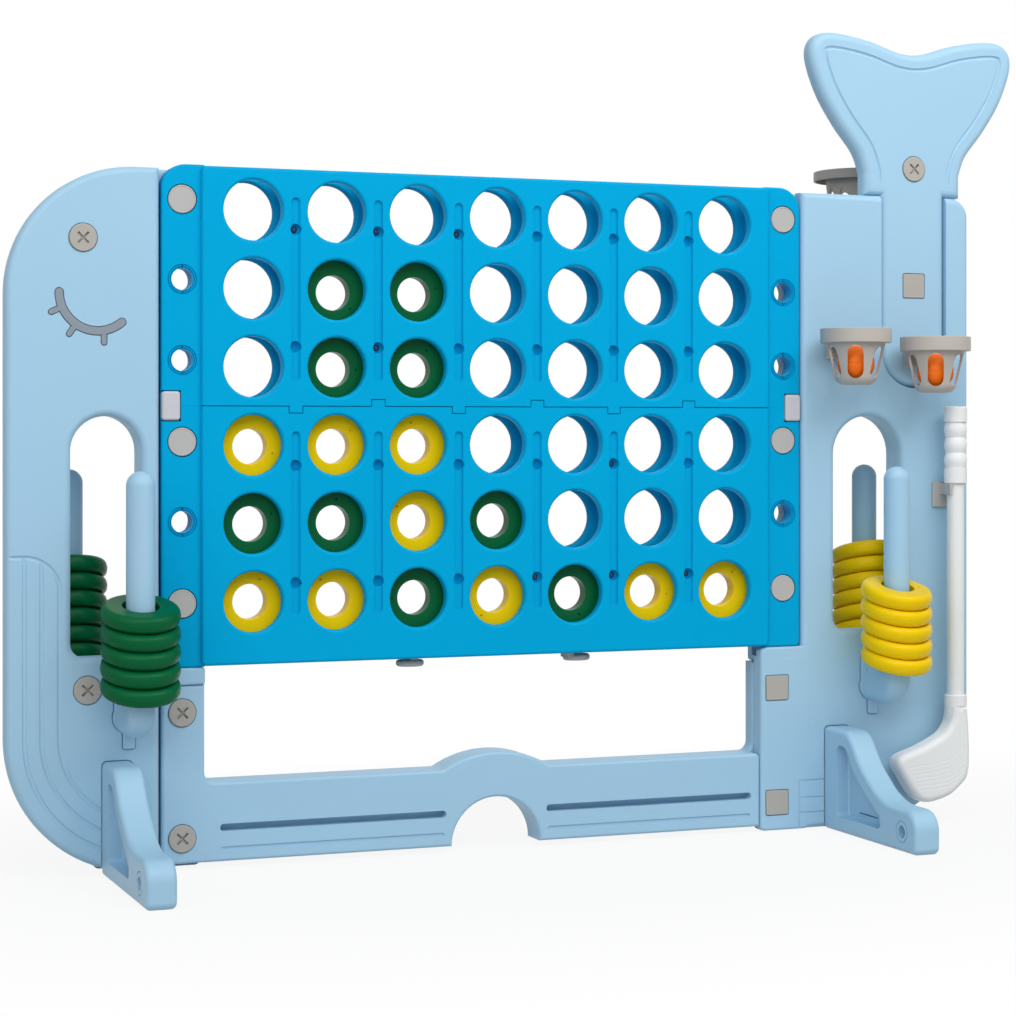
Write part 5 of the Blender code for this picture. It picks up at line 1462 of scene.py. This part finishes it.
def make_ball(name):
    """A ball with a moulded line round its middle, on the floor of its cup."""
    radius = BALL_DIAMETER / 2
    profile = arc((0.0, 0.0), radius, 90, BALL_SEAM_ANGLE, 20) + [(radius - BALL_SEAM, 0.0)]
    profile += arc((0.0, 0.0), radius, -BALL_SEAM_ANGLE, -90, 20)
    profile[0] = (0.0, radius)
    profile[-1] = (0.0, -radius)
    x, y, _ = middle_of(f"{name}_ball")
    floor_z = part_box(f"{name}_ball")[0].z
    ball = turned(f"{name}_game_ball", profile, Matrix.Translation((x, y, floor_z + radius)), 48)
    finish(ball, ORANGE, f"{name}_ball", f"{name}_ball")


def make_hoop():
    """A rim with a skirt, a moulded net inside it, and an arm with a plate on the tail."""
    axis_y = TAIL_HIGH.y + HOOP_REACH
    rim_z = PANEL_TOP + HOOP_RISE
    wall = HOOP_WALL
    rim = HOOP_RIM_RADIUS
    r = HOOP_ROUNDING
    profile = arc((rim - r, -r), r, 90, 0, 4)
    profile += arc((rim - r, -HOOP_RIM_HEIGHT + r), r, 0, -90, 4)
    profile += arc((rim - wall + r, -HOOP_RIM_HEIGHT + r), r, -90, -180, 4)
    profile += [(rim - wall, -wall), (NET_TOP_RADIUS, -wall), (NET_FOOT_RADIUS, -NET_DEPTH),
                (NET_FOOT_RADIUS - wall, -NET_DEPTH), (NET_TOP_RADIUS - wall, -wall)]
    profile += arc((NET_TOP_RADIUS - wall + r, -r), r, 180, 90, 4)
    place = Matrix.Translation((TAIL_X, axis_y, rim_z))
    hoop = turned("hoop_with_net", profile, place, 72, closed=True)
    half = NET_SLOT_WIDTH / 2
    slot = lozenge((0.0, -NET_DEPTH + half + wall), (0.0, -NET_BAND - half), NET_SLOT_WIDTH)
    cut(hoop, spokes("net_slots", NET_SLOTS, NET_FOOT_RADIUS / 2, HOOP_RIM_RADIUS, slot, place))
    half = HOOP_PLATE_WIDTH / 2
    back = TAIL_HIGH.y + FIT_GAP
    fuse(hoop, block("hoop_plate", (TAIL_X - half, back, rim_z - HOOP_PLATE_HEIGHT),
                     (TAIL_X + half, back + HOOP_PLATE, rim_z), 2 * r))
    half = HOOP_ARM_WIDTH / 2
    low = rim_z - (HOOP_RIM_HEIGHT + HOOP_ARM_HEIGHT) / 2
    fuse(hoop, block("hoop_arm", (TAIL_X - half, back + HOOP_PLATE / 2, low),
                     (TAIL_X + half, axis_y - NET_TOP_RADIUS + wall / 2, low + HOOP_ARM_HEIGHT)))
    cut(hoop, bolt_room("hoop_bolt", -1))
    finish(hoop, WARM_GREY, "frame", "basket_hoop")


# Stick.

def make_stick():
    """The ribbed grip, the shaft and the blade."""
    grip_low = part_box("stick_grip")[0]
    axis_x, axis_y, _ = middle_of("stick_grip")
    radius = GRIP_DIAMETER / 2
    corner = GRIP_CORNER
    bulge = (GRIP_LENGTH - 2 * GRIP_COLLAR) / GRIP_BULGES
    profile = [(0.0, GRIP_LENGTH)] + arc((radius - corner, GRIP_LENGTH - corner), corner, 90, 0, 5)
    profile += [(radius, GRIP_LENGTH - GRIP_COLLAR)]
    for number in range(GRIP_BULGES):
        top = GRIP_LENGTH - GRIP_COLLAR - bulge * number
        for step in range(GRIP_STEPS + 1):
            share = step / GRIP_STEPS
            waist = GRIP_WAIST * (1 - math.sin(math.pi * share))
            profile.append((radius - waist, top - bulge * share))
    shaft = STICK_DIAMETER / 2
    profile += [(radius, GRIP_COLLAR), (radius, corner / 2), (radius - corner / 2, 0.0),
                (shaft + FIT_GAP, 0.0), (shaft + FIT_GAP, GRIP_LENGTH - GRIP_COLLAR),
                (0.0, GRIP_LENGTH - GRIP_COLLAR)]
    axis = Matrix.Translation((axis_x, axis_y, grip_low.z))
    finish(turned("ribbed_grip", profile, axis), WHITE, "stick", "stick_grip")
    low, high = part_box("stick_shaft")
    reach = high.z - low.z
    profile = [(0.0, reach), (shaft - FIT_GAP, reach), (shaft, reach - FIT_GAP),
               (shaft, FIT_GAP), (shaft - FIT_GAP, 0.0), (0.0, 0.0)]
    axis = Matrix.Translation((axis_x, axis_y, low.z))
    finish(turned("round_shaft", profile, axis), WHITE, "stick", "stick_shaft")
    make_blade(axis_x, axis_y)


def make_blade(axis_x, axis_y):
    """A boot-shaped blade with a socket for the shaft and shallow lines along its face."""
    low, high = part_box("stick_blade")
    socket = SOCKET_DIAMETER / 2
    shoulder = high.z - SOCKET_HEIGHT
    edge = [(BLADE_NECK, shoulder), *BLADE_EDGE, (-BLADE_NECK, shoulder)]
    outline = [(axis_x + x, z) for x, z in smooth_run(edge, 5)]
    blade = plate("hockey_blade", [outline], low.y, high.y, BLADE_ROUNDING)
    lines = []
    for number in range(BLADE_LINES):
        share = number / (BLADE_LINES - 1)
        points = [Vector(top).lerp(Vector(bottom), share)
                  for top, bottom in zip(BLADE_TOP_LINE, BLADE_LOW_LINE)]
        lines.append([(axis_x + x, z) for x, z in smooth_run(points, 5)])
    cut_lines(blade, lines, low.y, BLADE_TOOL, BLADE_TOOL_LIFT)
    corner = FIT_GAP * 4
    neck = socket - corner / 2
    rim = SOCKET_DEPTH - SOCKET_HEIGHT
    profile = [(0.0, -SOCKET_TAPER), (socket - 2 * corner, -SOCKET_TAPER), (neck, 0.0), (neck, rim),
               (socket, rim), (socket, SOCKET_DEPTH - corner), (socket - corner, SOCKET_DEPTH),
               (0.0, SOCKET_DEPTH)]
    bottom = high.z - SOCKET_DEPTH
    fuse(blade, turned("socket", profile, Matrix.Translation((axis_x, axis_y, bottom))))
    bore = STICK_DIAMETER / 2 + FIT_GAP
    hole = [(0.0, 0.0), (bore, 0.0), (bore, 2 * SOCKET_DEPTH), (0.0, 2 * SOCKET_DEPTH)]
    cut(blade, turned("socket_bore", hole, Matrix.Translation((axis_x, axis_y, bottom))))
    finish(blade, WHITE, "stick", "stick_blade")


def make_hanger():
    """A fork, open in front, with its arm and its plate on the panel."""
    low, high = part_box("stick_hanger")
    x, y, _ = middle_of("stick_shaft")
    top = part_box("stick_grip")[0].z - FIT_GAP
    inner = STICK_DIAMETER / 2 + 2 * FIT_GAP
    outer = inner + HANGER_WALL
    bottom = top - HANGER_HEIGHT
    fork = arc((x, y), outer, FORK_OPEN, 180, 16)
    fork += [(x - outer, y - FORK_TIP * inner), (x - inner, y - FORK_TIP * inner)]
    fork += arc((x, y), inner, 180, FORK_OPEN, 16)
    hanger = plate("stick_fork", [fork], bottom, top, FORK_ROUNDING, FROM_ABOVE, 3)
    half = HANGER_ARM / 2
    fuse(hanger, block("fork_arm", (x - half, y + inner + HANGER_WALL / 2, bottom),
                       (x + half, high.y, top), HANGER_ARM_ROUNDING))
    fuse(hanger, block("fork_plate", (x - HANGER_PLATE_LEFT, high.y - HANGER_PLATE, low.z),
                       (x + half, high.y, high.z), HANGER_PLATE_ROUNDING))
    finish(hanger, GREY, "frame", "stick_hanger")


# Bolts.

def cross_loop():
    """The cross in a bolt's head."""
    h = CROSS_WIDTH / 2
    e = CROSS_LENGTH / 2
    return [(h, h), (h, e), (-h, e), (-h, h), (-e, h), (-e, -h),
            (-h, -h), (-h, -e), (h, -e), (h, -h), (e, -h), (e, h)]


def make_bolt(node, head_facing, has_nut):
    """A round-headed bolt with a cross in its head, and a square nut on its far end."""
    low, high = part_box(node)
    x, _, z = middle_of(node)
    radius = BOLT_HEAD / 2
    shank = BOLT_SHANK / 2
    reach = high.y - low.y
    crown = BOLT_CROWN
    profile = [(0.0, crown)] + arc((radius - crown, 0.0), crown, 90, 0, 4)
    end = FIT_GAP - reach
    profile += [(radius, -BOLT_SINK), (shank, -BOLT_SINK), (shank, end), (0.0, end)]
    bolt = turned("bolt", profile, FROM_ABOVE, 40)
    cut(bolt, plate("cross", [cross_loop()], crown - CROSS_DEPTH, 2 * crown, 0.0, FROM_ABOVE))
    head_y = low.y if head_facing < 0 else high.y
    turn = FACING_FRONT if head_facing < 0 else FACING_BACK
    place = Matrix.Translation((x, head_y, z)) @ turn
    settle(bolt, place @ Matrix.Rotation(math.radians(CROSS_TURN), 4, "Z"))
    if has_nut:
        half = NUT_WIDTH / 2
        near = high.y - NUT_HEIGHT if head_facing < 0 else low.y
        far = high.y if head_facing < 0 else low.y + NUT_HEIGHT
        outline = rounded_box(x - half, x + half, z - half, z + half, NUT_CORNER, 3)
        bolt = gather("bolt", [bolt, plate("nut", [outline], near, far, NUT_ROUNDING, steps=3)])
    bolt.name = node.replace("_bolt", "_screw")
    finish(bolt, BROWN_GREY, "frame", node)


def make_bolts():
    for node, head_facing, has_nut in (
            ("head_bolt", -1, True), ("peg_bolt", -1, False), ("hoop_bolt", -1, False),
            ("stem_bolt", 1, True), ("upper_head_leg_bolt", -1, True),
            ("lower_head_leg_bolt", -1, True), ("upper_body_leg_bolt", 1, True),
            ("lower_body_leg_bolt", 1, True)):
        make_bolt(node, head_facing, has_nut)


# Floor, light and camera.

def seen_by(tree):
    """A node that gives one where a ray comes from the camera, from a gloss or through glass."""
    path = add_node(tree, "LightPath")
    either = add_node(tree, "Math")
    any_of = add_node(tree, "Math")
    either.operation = any_of.operation = "MAXIMUM"
    wire(tree, (path, "Is Camera Ray", either, 0), (path, "Is Glossy Ray", either, 1),
         (either, "Value", any_of, 0), (path, "Is Transmission Ray", any_of, 1))
    return any_of


def make_floor():
    """A pale floor that shows its shade near the part and is white beyond."""
    let_go()
    bpy.ops.mesh.primitive_plane_add(size=FLOOR_SIZE, location=FLOOR_PLACE)
    floor = bpy.context.object
    floor.name = "floor"
    settle(floor)
    material = bpy.data.materials.new("pale_floor")
    material.use_nodes = True
    tree = material.node_tree
    shader = tree.nodes["Principled BSDF"]
    shader.inputs["Base Color"].default_value = FLOOR_GREY
    shader.inputs["Roughness"].default_value = FLOOR_ROUGHNESS
    floor.data.materials.append(material)
    place = add_node(tree, "TexCoord")
    spread = add_node(tree, "Mapping", Scale=SHADE_SPREAD)
    fade = add_node(tree, "TexGradient")
    fade.gradient_type = "SPHERICAL"
    away = add_node(tree, "MapRange", From_Min=0.0, From_Max=SHADE_EDGE,
                    To_Min=1.0, To_Max=SHADE_WHITE)
    seen = add_node(tree, "Math")
    seen.operation = "MULTIPLY"
    white = add_node(tree, "Emission", Color=PURE_WHITE)
    mix = add_node(tree, "MixShader")
    wire(tree, (place, "Object", spread, "Vector"), (spread, "Vector", fade, "Vector"),
         (fade, "Fac", away, "Value"), (away, "Result", seen, 0), (seen_by(tree), "Value", seen, 1),
         (seen, "Value", mix, "Fac"), (shader, "BSDF", mix, 1), (white, "Emission", mix, 2),
         (mix, "Shader", tree.nodes["Material Output"], "Surface"))


def make_world():
    """A white backdrop, and a pale sky that lights the part."""
    world = bpy.data.worlds.new("studio")
    bpy.context.scene.world = world
    world.use_nodes = True
    tree = world.node_tree
    tree.nodes.clear()
    output = add_node(tree, "OutputWorld")
    glow = add_node(tree, "Background", Color=SKY_GLOW, Strength=SKY_STRENGTH)
    backdrop = add_node(tree, "Background", Color=PURE_WHITE, Strength=1.0)
    mix = add_node(tree, "MixShader")
    wire(tree, (seen_by(tree), "Value", mix, "Fac"), (glow, "Background", mix, 1),
         (backdrop, "Background", mix, 2), (mix, "Shader", output, "Surface"))


def add_light(name, place, target, size, power):
    lamp = bpy.data.lights.new(name, "AREA")
    lamp.shape = "DISK"
    lamp.size = size
    lamp.energy = power
    light = bpy.data.objects.new(name, lamp)
    bpy.context.scene.collection.objects.link(light)
    light.location = place
    light.rotation_euler = (Vector(target) - Vector(place)).to_track_quat("-Z", "Y").to_euler()


def make_camera():
    lens = bpy.data.cameras.new("camera")
    lens.lens = CAMERA_LENS
    lens.sensor_width = CAMERA_SENSOR
    lens.shift_y = CAMERA_SHIFT
    camera = bpy.data.objects.new("camera", lens)
    bpy.context.scene.collection.objects.link(camera)
    camera.location = CAMERA_PLACE
    camera.rotation_euler = (math.radians(90), 0.0, math.radians(CAMERA_TURN))
    bpy.context.scene.camera = camera


def build():
    bpy.context.scene.view_settings.view_transform = "Standard"
    for make in (make_camera, make_boards, make_groove_screws, make_plugs, make_seam_clips,
                 make_release_bar, make_head_panel, make_eye, make_body_panel, make_tail,
                 make_crossbar, make_feet, make_pegs, make_rings, make_cups, make_hoop, make_stick,
                 make_hanger, make_bolts, make_floor, make_world):
        make()
    for light in LIGHTS:
        add_light(*light)


build()
